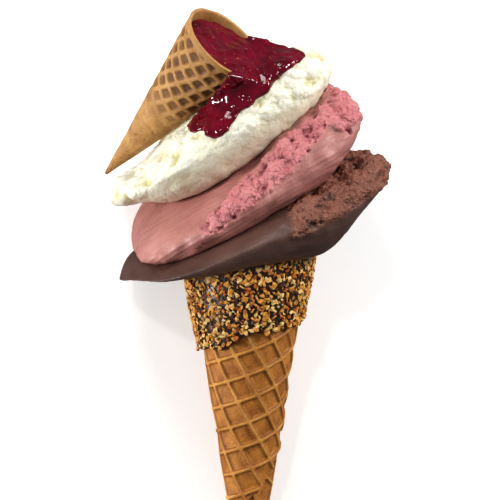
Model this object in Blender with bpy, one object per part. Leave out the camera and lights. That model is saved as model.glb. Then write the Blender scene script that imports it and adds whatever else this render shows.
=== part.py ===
"""An ice cream cone that lies on its back.

Three flat slabs of gelato lean on a rolled waffle cone whose mouth was dipped in chocolate and
chopped nuts. A small waffle cone is pressed into the top slab and pours berry sauce over it.

Everything is built in the cone's own frame: +Y runs up the axis of the large cone, Z points out
of the side that is shown, and the middle of the large mouth is at the origin. One empty then
lays the whole thing on its back, with +Z up.
"""

import math
import random
from dataclasses import dataclass, replace

import bmesh
import bpy
from mathutils import Matrix, Vector, noise
from mathutils.bvhtree import BVHTree

MM = 0.001
GAP = 0.35 * MM  # left between pieces that touch
FRONT = Vector((0, 0, 1))


@dataclass
class Cone:
    """A rolled waffle cone. Its own frame has the mouth's middle at the origin and +Y out of it."""

    mouth_radius: float
    apex: float  # from the mouth's middle down to the point where the sides would meet
    wall: float
    tip_radius: float
    hollow_end_radius: float  # the hollow stops where it has narrowed to this
    mouth_normal: Vector  # of the plane that the mouth is cut along; +Y is square to the axis
    sides: int

    @property
    def half_angle(self):
        return math.atan(self.mouth_radius / self.apex)

    def generatrix(self, theta):
        """The direction from the apex up the side at the angle theta round the axis."""
        lean = self.half_angle
        return Vector(
            (math.sin(lean) * math.sin(theta), math.cos(lean), math.sin(lean) * math.cos(theta))
        )

    def radius_at(self, y):
        return self.mouth_radius * (1 + y / self.apex)

    def rim_shift(self, theta, radius):
        """How far up its side a point of the square mouth has to move to lie on the slanted one."""
        normal = self.mouth_normal
        slope = -(normal.x * math.sin(theta) + normal.z * math.cos(theta)) / normal.y
        lean = self.half_angle
        return radius * slope / (math.cos(lean) - math.sin(lean) * slope)

    def on_side(self, flat, height):
        """A point of the unrolled wafer, x up its front line and y to the right, rolled onto the cone."""
        lean = self.half_angle
        along = flat.length
        theta = math.atan2(flat.y, flat.x) / math.sin(lean)
        radius = along * math.sin(lean) + height * math.cos(lean)
        up = along * math.cos(lean) - height * math.sin(lean) - self.apex
        return Vector((radius * math.sin(theta), up, radius * math.cos(theta)))


@dataclass
class Slab:
    """A slab of gelato. Its own frame has X along it, Y up through it and Z out of its front."""

    middle: Vector
    turn: float  # of its length above level, seen from the front
    lean: float  # of its top towards the front
    half_length: float
    half_depth: float
    crown: tuple  # (station from -1 to 1, height above the rim line)
    belly: tuple  # (station, depth under the rim line)
    rim_line: tuple  # (station, height of the rim line)
    fullness: float  # under 1 makes the sides steeper
    squareness: float  # over 2 makes the plan outline squarer
    seed: float
    triangles: int

    @property
    def matrix(self):
        return (
            Matrix.Translation(self.middle)
            @ Matrix.Rotation(self.turn, 4, "Z")
            @ Matrix.Rotation(self.lean, 4, "X")
        )


MOUTH_SLANT = math.radians(13)
LARGE_CONE = Cone(
    mouth_radius=28.2 * MM,
    apex=174.5 * MM,
    wall=2.6 * MM,
    tip_radius=2.6 * MM,
    hollow_end_radius=6.0 * MM,
    mouth_normal=Vector((-math.sin(MOUTH_SLANT), math.cos(MOUTH_SLANT), 0)),
    sides=24,
)
SMALL_CONE = Cone(
    mouth_radius=20.9 * MM,
    apex=98.8 * MM,
    wall=1.9 * MM,
    tip_radius=1.0 * MM,
    hollow_end_radius=4.0 * MM,
    mouth_normal=Vector((0, 1, 0)),
    sides=24,
)
SMALL_CONE_HEADING = math.radians(45)  # of its axis above level, seen from the front
SMALL_CONE_TILT = math.radians(31)  # of its mouth towards the front
SMALL_CONE_MOUTH = Vector((-10.3, 96.0, 17.0)) * MM
SMALL_CONE_PLACE = (
    Matrix.Translation(SMALL_CONE_MOUTH)
    @ Matrix.Rotation(SMALL_CONE_HEADING - math.pi / 2, 4, "Z")
    @ Matrix.Rotation(SMALL_CONE_TILT, 4, "X")
)

# The waffle iron's grid on the unrolled wafer: a crossing of two ribs, then the step to the next
# crossing along each family of ribs.
LARGE_GRID = (Vector((121.5, -1.0)) * MM, Vector((-9.1, 5.2)) * MM, Vector((3.2, 9.2)) * MM)
SMALL_GRID = (Vector((70.6, -5.3)) * MM, Vector((5.8, 3.0)) * MM, Vector((-2.0, 6.5)) * MM)
LARGE_RIB = 1.9 * MM
SMALL_RIB = 1.9 * MM
LARGE_POCKET_DEPTH = 1.15 * MM
SMALL_POCKET_DEPTH = 1.1 * MM
SMALL_GRID_FADES = 46 * MM  # from the apex: nearer to the tip the pockets are only faint dents

LARGE_CONE_TRIANGLES = 2700
SMALL_CONE_TRIANGLES = 1500

# The edge of the rolled wafer's outer wrap: a straight line on the unrolled wafer.
WRAP_START = Vector((41.0, -22.4)) * MM
WRAP_END = Vector((132.0, 67.0)) * MM
WRAP_STEP = 1.0 * MM
WRAP_FADE = 16 * MM

COAT_THICKNESS = 2.3 * MM
COAT_EDGE = -37.5 * MM  # of its lower border, on the axis
COAT_EDGE_SLANT = math.radians(16.5)
COAT_EDGE_WAVE = 1.3 * MM
COAT_TOP = -1.0 * MM
COAT_SIDES = 24
NUT_COUNT = 150
NUT_SIZE = (1.6 * MM, 2.5 * MM)  # half the length of a piece, smallest and largest
NUT_SUNK = 0.7 * MM  # how deep its foot sits in the chocolate
NUT_MARGIN = 2.0 * MM  # from the borders of the coat

CHOCOLATE = Slab(
    middle=Vector((2.0, 16.0, 0.0)) * MM,
    turn=math.radians(22),
    lean=math.radians(20),
    half_length=68.5 * MM,
    half_depth=42.0 * MM,
    crown=((-1, 1), (-0.7, 2), (0, 5), (0.6, 11), (1, 13)),
    belly=((-1, 0.5), (-0.8, 1.2), (-0.6, 5.5), (-0.14, 16), (0.33, 23), (0.54, 20), (0.76, 13), (1, 6)),
    rim_line=((-1, -5), (-0.88, -1), (-0.6, 0), (0, 2), (0.5, 1), (1, 1)),
    fullness=0.82,
    squareness=2.1,
    seed=3.1,
    triangles=1650,
)
STRAWBERRY = Slab(
    middle=Vector((-2.5, 36.5, -5.0)) * MM,
    turn=math.radians(29),
    lean=math.radians(24),
    half_length=61.0 * MM,
    half_depth=43.0 * MM,
    crown=((-1, 9), (-0.6, 7), (0, 8), (0.5, 15), (1, 18)),
    belly=((-1, 9), (-0.7, 18), (-0.4, 20), (0, 18), (0.5, 18), (0.8, 15), (1, 10)),
    rim_line=((-1, -7), (-0.85, -3), (-0.6, -1), (0, 2), (0.6, 3), (1, 4)),
    fullness=0.84,
    squareness=2.7,
    seed=8.4,
    triangles=1650,
)
VANILLA = Slab(
    middle=Vector((-12.0, 57.5, -6.0)) * MM,
    turn=math.radians(30.5),
    lean=math.radians(12),
    half_length=59.0 * MM,
    half_depth=34.0 * MM,
    crown=((-1, 6), (-0.88, 7.5), (-0.7, 6), (-0.4, 9), (0, 14), (0.4, 21), (0.7, 21), (1, 22)),
    belly=((-1, 5), (-0.85, 11), (-0.6, 18), (-0.2, 20), (0.2, 19), (0.6, 17), (0.9, 14), (1, 11)),
    rim_line=((-1, -1), (-0.5, 0), (0, 0), (0.6, 1), (1, 3)),
    fullness=0.85,
    squareness=2.25,
    seed=5.7,
    triangles=1000,
)

# The sauce seen from the front: the outline of what has run over the rim and the top slab.
SAUCE_OUTLINE = [
    Vector(point) * MM
    for point in (
        (0.5, 101.0), (10.0, 98.0), (19.0, 95.5), (25.0, 92.5), (25.2, 88.5), (20.0, 85.0),
        (14.5, 81.0), (10.5, 74.5), (4.5, 68.0), (-2.5, 64.5), (-6.0, 59.5), (-10.5, 53.0),
        (-15.0, 50.5), (-19.5, 52.5), (-21.5, 56.5), (-24.0, 53.5), (-28.8, 55.0), (-28.0, 61.0),
        (-21.5, 67.0), (-15.5, 73.0), (-10.5, 79.0), (-9.0, 86.0), (-9.5, 93.0), (-6.0, 98.5),
    )
]
SAUCE_THICKNESS = 3.4 * MM
SAUCE_EDGE = 4.0 * MM  # how far in from its outline it reaches that thickness
SAUCE_CELL = 3.7 * MM
SAUCE_LEVEL = 2.0 * MM  # in the middle of the small mouth, under the rim
SAUCE_SLOPE = 0.13  # by which it rises across the mouth, to where it pours over the rim
SAUCE_OVER_RIM = 1.6 * MM  # how far out from the rim it starts to fall
SAUCE_UNDERSIDE = 7.0 * MM  # its thickness where it bridges from the small cone to the slab
SAUCE_SETTLING = 12  # rounds of smoothing that turn its draped top into a liquid surface

LYING_TILT = math.radians(10.8)  # the tip lies on the table, so the axis climbs to the mouth
AXIS_HEIGHT = 32.1 * MM  # of the mouth's middle above the table


def smooth_step(low, high, value):
    share = min(1.0, max(0.0, (value - low) / (high - low)))
    return share * share * (3 - 2 * share)


def curve_at(points, station):
    """A smooth curve through (station, value in mm) points, read at a station, in metres."""
    index = 0
    while index < len(points) - 2 and station > points[index + 1][0]:
        index += 1
    (start, low), (end, high) = points[index], points[index + 1]
    share = min(1.0, max(0.0, (station - start) / (end - start)))
    before = points[max(index - 1, 0)]
    after = points[min(index + 2, len(points) - 1)]
    span = end - start
    rise_low = (high - before[1]) / (end - before[0]) * span
    rise_high = (after[1] - low) / (after[0] - start) * span
    square, cube = share * share, share ** 3
    value = (
        (2 * cube - 3 * square + 1) * low
        + (cube - 2 * square + share) * rise_low
        + (3 * square - 2 * cube) * high
        + (cube - square) * rise_high
    )
    return value * MM


def material(name, colour, roughness):
    made = bpy.data.materials.new(name)
    made.use_nodes = True
    shader = made.node_tree.nodes["Principled BSDF"]
    shader.inputs["Base Color"].default_value = (*colour, 1)
    shader.inputs["Roughness"].default_value = roughness
    shader.inputs["Metallic"].default_value = 0.0
    return made


def new_object(name, bm, finish=None, place=None):
    """Turns a bmesh into an object, in the cone's frame or placed in it by a matrix."""
    bmesh.ops.recalc_face_normals(bm, faces=bm.faces)
    if place is not None:
        bm.transform(place)
    mesh = bpy.data.meshes.new(name)
    bm.to_mesh(mesh)
    bm.free()
    if finish:
        mesh.materials.append(finish)
    made = bpy.data.objects.new(name, mesh)
    bpy.context.scene.collection.objects.link(made)
    return made


def hide_as_cutter(obj):
    obj.hide_render = True
    obj.display_type = "WIRE"
    return obj


def boolean(obj, other, operation="DIFFERENCE", solver="EXACT"):
    modifier = obj.modifiers.new(f"{operation.lower()} {other.name}", "BOOLEAN")
    modifier.operation = operation
    modifier.solver = solver
    modifier.object = other


def apply_modifiers(obj):
    graph = bpy.context.evaluated_depsgraph_get()
    mesh = bpy.data.meshes.new_from_object(obj.evaluated_get(graph))
    obj.modifiers.clear()
    obj.data = mesh


def thin(obj, triangles):
    """Drops the triangles that shape the surface least, down to the count given."""
    obj.data.calc_loop_triangles()
    decimate = obj.modifiers.new("thin", "DECIMATE")
    decimate.ratio = triangles / len(obj.data.loop_triangles)
    decimate.use_collapse_triangulate = True
    apply_modifiers(obj)


def keep_largest_body(obj):
    """Drops the loose scraps that a Boolean leaves."""
    bm = bmesh.new()
    bm.from_mesh(obj.data)
    left = set(bm.verts)
    bodies = []
    while left:
        body, edge = set(), {left.pop()}
        while edge:
            vert = edge.pop()
            body.add(vert)
            edge |= {e.other_vert(vert) for e in vert.link_edges} - body
        left -= body
        bodies.append(body)
    largest = max(bodies, key=len)
    scraps = [vert for body in bodies if body is not largest for vert in body]
    bmesh.ops.delete(bm, geom=scraps, context="VERTS")
    bm.to_mesh(obj.data)
    bm.free()


def shade_smooth(obj, angle=35):
    obj.data.shade_smooth()
    obj.data.set_sharp_from_angle(angle=math.radians(angle))


# Waffle cones


def turned(profile, sides):
    """Spins a profile of (radius, y) points about the Y axis into a closed solid."""
    bm = bmesh.new()
    points = [bm.verts.new((0, y, radius)) for radius, y in profile]
    edges = [bm.edges.new(pair) for pair in zip(points, points[1:])]
    bmesh.ops.spin(
        bm,
        geom=points + edges,
        cent=(0, 0, 0),
        axis=(0, 1, 0),
        angle=math.tau,
        steps=sides,
        use_merge=True,
    )
    bmesh.ops.remove_doubles(bm, verts=bm.verts, dist=0.001 * MM)
    return bm


def tip_profile(cone, grow):
    """The rounded tip, from the axis out to where the straight side begins."""
    lean = cone.half_angle
    radius = cone.tip_radius + grow
    middle = cone.tip_radius / math.sin(lean) - cone.apex
    turns = 4
    angles = [(math.pi / 2 - lean) * step / turns for step in range(turns + 1)]
    return [(radius * math.sin(angle), middle - radius * math.cos(angle)) for angle in angles]


def slant_mouth(bm, cone, above):
    """Moves everything above a height up or down its own side, to the slanted rim."""
    for vert in bm.verts:
        if vert.co.y > above:
            theta = math.atan2(vert.co.x, vert.co.z)
            radius = math.hypot(vert.co.x, vert.co.z)
            vert.co += cone.generatrix(theta) * cone.rim_shift(theta, radius)


def cone_solid(cone, grow, mouth_y):
    """The cone's outer form, filled, grown all round and cut parallel to its mouth."""
    reach = grow / math.cos(cone.half_angle)
    outer = cone.radius_at(mouth_y) + reach
    bm = turned(tip_profile(cone, grow) + [(outer, mouth_y), (0, mouth_y)], cone.sides)
    slant_mouth(bm, cone, mouth_y - 0.5 * MM)
    return bm


def hollow_profile(cone, shrink, top_y):
    """The inside of the cone as (radius, y) points, from the axis at its end up to top_y."""
    inset = (cone.wall + shrink) / math.cos(cone.half_angle)
    end_y = (cone.hollow_end_radius + inset) * cone.apex / cone.mouth_radius - cone.apex
    end_radius = cone.radius_at(end_y) - inset
    return [(0, end_y + shrink), (end_radius * 0.8, end_y + shrink), (end_radius, end_y + 1.5 * MM),
            (cone.radius_at(top_y) - inset, top_y)]


def cone_shell(cone):
    """The rolled wafer as one shell, with a rounded, slanted rim."""
    inset = cone.wall / math.cos(cone.half_angle)
    rim = cone.wall * 0.25
    profile = tip_profile(cone, 0)
    profile += [(cone.radius_at(-rim), -rim), (cone.mouth_radius - rim, 0)]
    profile += [(cone.mouth_radius - inset + rim, 0)]
    profile += hollow_profile(cone, 0, -rim)[::-1]
    bm = turned(profile, cone.sides)
    slant_mouth(bm, cone, -2 * rim)
    return bm


def hollow_filling(cone, top_y, clear=GAP):
    """What fills the cone's inside up to top_y on the axis, clear of its wall."""
    profile = hollow_profile(cone, clear, top_y) + [(0, top_y)]
    bm = turned(profile, cone.sides)
    slant_mouth(bm, cone, top_y - 0.5 * MM)
    return bm


def pocket(bm, cone, corners, depth, reach, floor_share):
    """One pocket that the waffle iron pressed, as a tapered block on the unrolled wafer."""
    middle = sum(corners, Vector((0, 0))) / len(corners)
    mouth = [cone.on_side(middle + (corner - middle) * 1.03, reach) for corner in corners]
    mouth = [bm.verts.new(point) for point in mouth]
    bm.faces.new(mouth[::-1])
    floor = [middle + (corner - middle) * floor_share for corner in corners]
    floor = [bm.verts.new(cone.on_side(place, -depth)) for place in floor]
    bm.faces.new(floor)
    for index in range(4):
        after = (index + 1) % 4
        bm.faces.new((floor[after], floor[index], mouth[index], mouth[after]))


def grid_cells(cone, grid, rib, last_angle):
    """The pockets of the grid that fit on one turn of the wafer, each as four flat corners.

    last_angle(distance from the apex) is where that turn ends on the unrolled wafer.
    """
    crossing, step_a, step_b = grid
    turn = math.tau * math.sin(cone.half_angle)
    longest = cone.apex / math.cos(cone.half_angle)

    def fits(corner):
        margin = rib / 2 / corner.length
        spare = last_angle(corner.length) - math.atan2(corner.y, corner.x)
        return corner.length < longest and margin < spare < turn - margin

    inset_a, inset_b = rib / 2 / step_a.length, rib / 2 / step_b.length
    reach = int(2 * longest / min(step_a.length, step_b.length))
    for i in range(-reach, reach):
        for j in range(-reach, reach):
            shares = (
                (i + inset_a, j + inset_b),
                (i + 1 - inset_a, j + inset_b),
                (i + 1 - inset_a, j + 1 - inset_b),
                (i + inset_a, j + 1 - inset_b),
            )
            corners = [crossing + step_a * a + step_b * b for a, b in shares]
            if all(fits(corner) for corner in corners):
                yield corners


def wrap_angle(distance):
    """Where the outer wrap's edge passes on the unrolled wafer, this far from the apex."""
    along = (WRAP_END - WRAP_START).normalized()
    across = Vector((along.y, -along.x))
    nearest = WRAP_START.dot(across)
    foot = across * nearest
    turned_off = math.acos(min(1.0, foot.length / distance))
    return math.atan2(foot.y, foot.x) + turned_off


def wrap_height(flat):
    """How far the outer wrap stands proud at a point of the unrolled wafer."""
    along = (WRAP_END - WRAP_START).normalized()
    inside = (flat - WRAP_START).dot(Vector((along.y, -along.x)))
    if not 0 < inside < WRAP_FADE or (flat - WRAP_START).dot(along) < 0:
        return 0.0
    return WRAP_STEP * (1 - inside / WRAP_FADE)


def wrap_edge(cone):
    """The outer wrap's edge: a wedge that stands proud along the line and fades into the side."""
    bm = bmesh.new()
    stations = 22
    along = (WRAP_END - WRAP_START).normalized()
    inwards = Vector((along.y, -along.x))
    rings = []
    for index in range(stations + 1):
        flat = WRAP_START.lerp(WRAP_END, index / stations)
        back = flat + inwards * WRAP_FADE
        places = (
            (flat, -WRAP_STEP),
            (flat, WRAP_STEP),
            (flat.lerp(back, 0.5), WRAP_STEP * 0.45),
            (back, -WRAP_STEP * 0.4),
        )
        ring = []
        for place, height in places:
            side = cone.on_side(place, 0)
            coated = smooth_step(-10 * MM, -3 * MM, side.y - coat_edge_y(side.x))
            height += (-WRAP_STEP * 0.4 - height) * coated
            ring.append(bm.verts.new(cone.on_side(place, height)))
        rings.append(ring)
    for low, high in zip(rings, rings[1:]):
        for side in range(4):
            after = (side + 1) % 4
            bm.faces.new((low[side], low[after], high[after], high[side]))
    bm.faces.new(rings[0][::-1])
    bm.faces.new(rings[-1])
    return bm


def make_large_cone():
    finish = material("wafer", (0.62, 0.31, 0.09), 0.6)
    wafer = new_object("wafer_cone", cone_shell(LARGE_CONE), finish)
    wrap = hide_as_cutter(new_object("wrap_edge_tool", wrap_edge(LARGE_CONE)))
    boolean(wafer, wrap, "UNION")
    bm = bmesh.new()
    for corners in grid_cells(LARGE_CONE, LARGE_GRID, LARGE_RIB, wrap_angle):
        middle = sum(corners, Vector((0, 0))) / 4
        rolled = LARGE_CONE.on_side(middle, 0)
        under_coat = rolled.y > coat_edge_y(rolled.x) + 4 * MM
        near_tip = middle.length < 26 * MM
        if not (under_coat or near_tip):
            depth = LARGE_POCKET_DEPTH - wrap_height(middle)
            pocket(bm, LARGE_CONE, corners, depth, WRAP_STEP + 0.6 * MM, 0.84)
    pockets = hide_as_cutter(new_object("wafer_pockets_tool", bm))
    boolean(wafer, pockets)
    apply_modifiers(wafer)
    keep_largest_body(wafer)
    thin(wafer, LARGE_CONE_TRIANGLES)
    return wafer


def make_small_cone(slab_under_it):
    """The small cone, with pockets where the slab that it is pressed into leaves it bare."""
    finish = material("small_wafer", (0.60, 0.33, 0.11), 0.6)
    slab = BVHTree.FromBMesh(slab_under_it)
    wafer = new_object("small_cone", cone_shell(SMALL_CONE), finish, SMALL_CONE_PLACE)
    bm = bmesh.new()
    turn_end = math.pi * math.sin(SMALL_CONE.half_angle)
    for corners in grid_cells(SMALL_CONE, SMALL_GRID, SMALL_RIB, lambda distance: turn_end):
        middle = sum(corners, Vector((0, 0))) / 4
        theta = math.atan2(middle.y, middle.x) / math.sin(SMALL_CONE.half_angle)
        rim = SMALL_CONE.apex + SMALL_CONE.rim_shift(theta, SMALL_CONE.mouth_radius) - 5 * MM
        place = SMALL_CONE_PLACE @ SMALL_CONE.on_side(middle, 0)
        nearest, normal, _, distance = slab.find_nearest(place)
        bare = (place - nearest).dot(normal) > 0 and distance > 1 * MM
        if bare and SMALL_GRID_FADES < middle.length < rim:
            pocket(bm, SMALL_CONE, corners, SMALL_POCKET_DEPTH, 0.5 * MM, 0.6)
    pockets = hide_as_cutter(new_object("small_pockets_tool", bm, place=SMALL_CONE_PLACE))
    boolean(wafer, pockets)
    apply_modifiers(wafer)
    keep_largest_body(wafer)
    thin(wafer, SMALL_CONE_TRIANGLES)
    return wafer


# The dipped mouth


def coat_edge_y(x):
    """The height of the coat's lower border, which slants like the dip did."""
    return COAT_EDGE + x * math.tan(COAT_EDGE_SLANT)


def coat_thickness_at(share):
    """The chocolate is thinner where the dip ran out; share is 0 at the border and 1 at the rim."""
    return COAT_THICKNESS * (0.55 + 0.45 * smooth_step(0, 0.5, share))


def coat_point(theta, share, height):
    """A point of the coat: share from its lower border to its top, height above the wafer."""
    cone = LARGE_CONE
    wave = COAT_EDGE_WAVE * (math.sin(theta * 4 + 1) + 0.6 * math.sin(theta * 7 + 2))
    rim_rise = cone.generatrix(theta).y * cone.rim_shift(theta, cone.mouth_radius)
    slant_top = COAT_TOP + rim_rise
    bottom = coat_edge_y(cone.radius_at(COAT_EDGE) * math.sin(theta)) + wave
    y = bottom + (slant_top - bottom) * share
    radius = cone.radius_at(y) + height / math.cos(cone.half_angle)
    return Vector((radius * math.sin(theta), y, radius * math.cos(theta)))


def coat_ring():
    """The chocolate band, a thin ring round the cone with a rounded lower edge."""
    bm = bmesh.new()
    outline = [(0, GAP), (0, 0.55), (0.06, 0.9), (0.3, 1), (0.65, 1), (1, 1), (1, GAP)]
    rings = []
    for side in range(COAT_SIDES):
        theta = math.tau * side / COAT_SIDES
        ring = []
        for share, height in outline:
            if height != GAP:
                height = GAP + height * coat_thickness_at(share)
            ring.append(bm.verts.new(coat_point(theta, share, height)))
        rings.append(ring)
    for side, ring in enumerate(rings):
        following = rings[(side + 1) % COAT_SIDES]
        for index in range(len(outline)):
            after = (index + 1) % len(outline)
            bm.faces.new((ring[index], ring[after], following[after], following[index]))
    return bm


def nut_piece(rng, size):
    """One chopped piece of nut: a wedge or a pointed chip, standing on its foot."""
    bm = bmesh.new()
    corners = rng.choice((3, 4))
    tall = NUT_SUNK + size * rng.uniform(0.5, 0.85)
    base = []
    for index in range(corners):
        angle = math.tau * (index + rng.uniform(-0.2, 0.2)) / corners
        reach = size * rng.uniform(0.85, 1.25)
        base.append(bm.verts.new((reach * math.cos(angle), 0.8 * reach * math.sin(angle), 0)))
    ridge = [
        bm.verts.new((size * rng.uniform(-0.75, -0.2), size * rng.uniform(-0.3, 0.3), tall)),
        bm.verts.new((size * rng.uniform(0.2, 0.75), size * rng.uniform(-0.3, 0.3), tall)),
    ]
    bmesh.ops.convex_hull(bm, input=base + ridge)
    return bm


def nut_places(rng, count):
    """Evenly spread places on the coat, by the golden angle, each a little off its place."""
    golden = math.pi * (3 - math.sqrt(5))
    for index in range(count):
        share = (index + 0.5) / count
        narrow = LARGE_CONE.radius_at(COAT_EDGE) / LARGE_CONE.mouth_radius
        share = (math.sqrt(narrow ** 2 + (1 - narrow ** 2) * share) - narrow) / (1 - narrow)
        theta = index * golden + rng.uniform(-0.04, 0.04)
        yield theta, min(0.97, max(0.03, share + rng.uniform(-0.015, 0.015)))


def make_nut_coat(slab_over_it):
    """The dipped coat, with the largest pieces of nut fused on wherever the slab leaves room."""
    finish = material("nut_coat", (0.42, 0.24, 0.08), 0.55)
    coat = new_object("nut_coat", coat_ring(), finish)
    rng = random.Random(11)
    nuts = bpy.data.collections.new("nuts")
    slab = BVHTree.FromBMesh(slab_over_it)
    for theta, share in nut_places(rng, NUT_COUNT):
        size = rng.uniform(*NUT_SIZE)
        place = coat_point(theta, share, GAP + coat_thickness_at(share) - NUT_SUNK)
        nearest, normal, _, distance = slab.find_nearest(place)
        inside = (place - nearest).dot(normal) < 0
        rim_y = coat_point(theta, 1, 0).y
        if inside or distance < size + 0.6 * MM or rim_y - place.y < NUT_MARGIN:
            continue
        out = Vector((math.sin(theta), 0, math.cos(theta)))
        turn = out.to_track_quat("Z", "Y").to_matrix().to_4x4()
        spin = Matrix.Rotation(rng.uniform(0, math.tau), 4, "Z")
        bm = nut_piece(rng, size)
        nut = new_object(f"nut_{len(nuts.objects)}", bm, place=Matrix.Translation(place) @ turn @ spin)
        bpy.context.scene.collection.objects.unlink(nut)
        nuts.objects.link(nut)
    bpy.context.scene.collection.children.link(nuts)
    fuse = coat.modifiers.new("fuse nuts", "BOOLEAN")
    fuse.operation = "UNION"
    fuse.solver = "EXACT"
    fuse.operand_type = "COLLECTION"
    fuse.collection = nuts
    apply_modifiers(coat)
    for nut in list(nuts.objects):
        bpy.data.objects.remove(nut)
    bpy.data.collections.remove(nuts)
    keep_largest_body(coat)
    return coat


# Gelato


def section_angle(direction):
    """The angle round the slab's length, 0 at its front rim and 90 degrees on top."""
    return math.degrees(math.atan2(direction.y, direction.z))


def chocolate_crumb(direction):
    """How torn the chocolate gelato is: its right end, on top and over the front rim."""
    angle = section_angle(direction)
    return smooth_step(0.0, 0.25, direction.x) * smooth_step(-30, -8, angle) * (angle < 170)


def strawberry_crumb(direction):
    """How torn the strawberry gelato is: a broken slope that widens up the front to the right."""
    angle = section_angle(direction)
    top = 25 + 95 * smooth_step(-0.7, 0.5, direction.x)
    low = -16 + 20 * smooth_step(0.2, 0.9, direction.x)
    slope = smooth_step(low - 8, low + 4, angle) * (1 - smooth_step(top - 10, top + 14, angle))
    return slope * (1 - smooth_step(0.8, 0.97, direction.x))


def vanilla_crumb(direction):
    """How torn the vanilla gelato is: a rough front where it was pulled off the spatula."""
    angle = section_angle(direction)
    return 0.4 * smooth_step(-0.2, 0.2, direction.x) * smooth_step(-25, 5, angle) * (angle < 130)


def thinned(bm, triangles):
    """The same surface in fewer triangles, which stay small where it is torn."""
    dense = new_object("dense", bm)
    thin(dense, triangles)
    bm = bmesh.new()
    bm.from_mesh(dense.data)
    bpy.data.objects.remove(dense)
    return bm


def slab_point(slab, direction):
    """Where a direction of the unit ball lands on the slab's smooth form."""
    plan = min(1.0, max(1e-6, math.hypot(direction.x, direction.z)))
    along, across = direction.x / plan, direction.z / plan
    corner = (abs(along) ** slab.squareness + abs(across) ** slab.squareness) ** (1 / slab.squareness)
    spread = plan ** slab.fullness / corner
    station = along * spread
    height = curve_at(slab.rim_line, station)
    if direction.y > 0:
        height += curve_at(slab.crown, station) * (1 - plan ** 3) ** 0.6
    else:
        height -= curve_at(slab.belly, station) * (1 - plan ** 2.6) ** 0.55
    return Vector((station * slab.half_length, height, across * spread * slab.half_depth))


def gelato_relief(slab, crumb, point, direction):
    """Crags where the gelato was torn, and a soft swell elsewhere."""
    place = point / MM + Vector((slab.seed, slab.seed * 2, slab.seed * 3)) * 10
    swell = noise.noise(place / 22) * 0.9 * MM
    torn = crumb(direction)
    crags = noise.noise(place / 6.5) * 2.3 * MM + noise.noise(place / 3.1) * 1.2 * MM
    return swell + torn * (crags - 0.3 * MM)


def gelato(slab, crumb, grow=0.0):
    """The slab as a bmesh in the cone's frame, grown by a clearance where it is a cutter."""
    bm = bmesh.new()
    bmesh.ops.create_icosphere(bm, subdivisions=6, radius=1)
    directions = [vert.co.copy() for vert in bm.verts]
    for vert in bm.verts:
        vert.co = slab_point(slab, vert.co)
    bm.normal_update()
    normals = [vert.normal.copy() for vert in bm.verts]
    for vert, direction, normal in zip(bm.verts, directions, normals):
        vert.co += normal * gelato_relief(slab, crumb, vert.co, direction)
    bm = thinned(bm, slab.triangles)
    if grow:
        bm.normal_update()
        normals = [vert.normal.copy() for vert in bm.verts]
        for vert, normal in zip(bm.verts, normals):
            vert.co += normal * grow
    bm.transform(slab.matrix)
    return bm


def gelato_object(name, slab, crumb, colour):
    made = new_object(name, gelato(slab, crumb), material(name, colour, 0.55))
    shade_smooth(made, 60)
    return made


def clearance_of(slab, crumb, name):
    """The slab grown by the gap, as a cutter for the piece that rests on it."""
    return hide_as_cutter(new_object(f"{name}_clearance_tool", gelato(slab, crumb, 1.4 * GAP)))


# Sauce


def closed_curve(points, steps):
    """A smooth closed curve through the points, as a finer list of points."""
    curve = []
    count = len(points)
    for index in range(count):
        before, start = points[index - 1], points[index]
        end, after = points[(index + 1) % count], points[(index + 2) % count]
        for step in range(steps):
            t = step / steps
            curve.append(
                0.5
                * (
                    2 * start
                    + (end - before) * t
                    + (2 * before - 5 * start + 4 * end - after) * t * t
                    + (3 * start - before - 3 * end + after) * t ** 3
                )
            )
    return curve


def inside_distance(point, outline):
    """(distance inside the outline, nearest point of it); the distance is negative outside."""
    nearest, least, inside = None, math.inf, False
    for start, end in zip(outline, outline[1:] + outline[:1]):
        side = end - start
        share = min(1.0, max(0.0, (point - start).dot(side) / side.length_squared))
        foot = start + side * share
        if (foot - point).length < least:
            nearest, least = foot, (foot - point).length
        if (start.y > point.y) != (end.y > point.y):
            if point.x < start.x + side.x * (point.y - start.y) / side.y:
                inside = not inside
    return (least if inside else -least), nearest


def pool_grid(outline, cell):
    """A flat grid of cells inside the outline, with its border pulled onto the outline."""
    low = Vector((min(p.x for p in outline), min(p.y for p in outline)))
    high = Vector((max(p.x for p in outline), max(p.y for p in outline)))
    counts = [int((high - low)[axis] / cell) + 2 for axis in (0, 1)]
    bm = bmesh.new()
    bmesh.ops.create_grid(bm, x_segments=counts[0], y_segments=counts[1], size=0.5)
    for vert in bm.verts:
        vert.co.x = (low.x + high.x) / 2 + vert.co.x * counts[0] * cell
        vert.co.y = (low.y + high.y) / 2 + vert.co.y * counts[1] * cell
    outside = [
        face
        for face in bm.faces
        if inside_distance(face.calc_center_median().to_2d(), outline)[0] < -0.1 * cell
    ]
    bmesh.ops.delete(bm, geom=outside, context="FACES")
    for vert in bm.verts:
        if vert.is_boundary:
            _, nearest = inside_distance(vert.co.to_2d(), outline)
            vert.co.x, vert.co.y = nearest
    return bm


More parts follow.
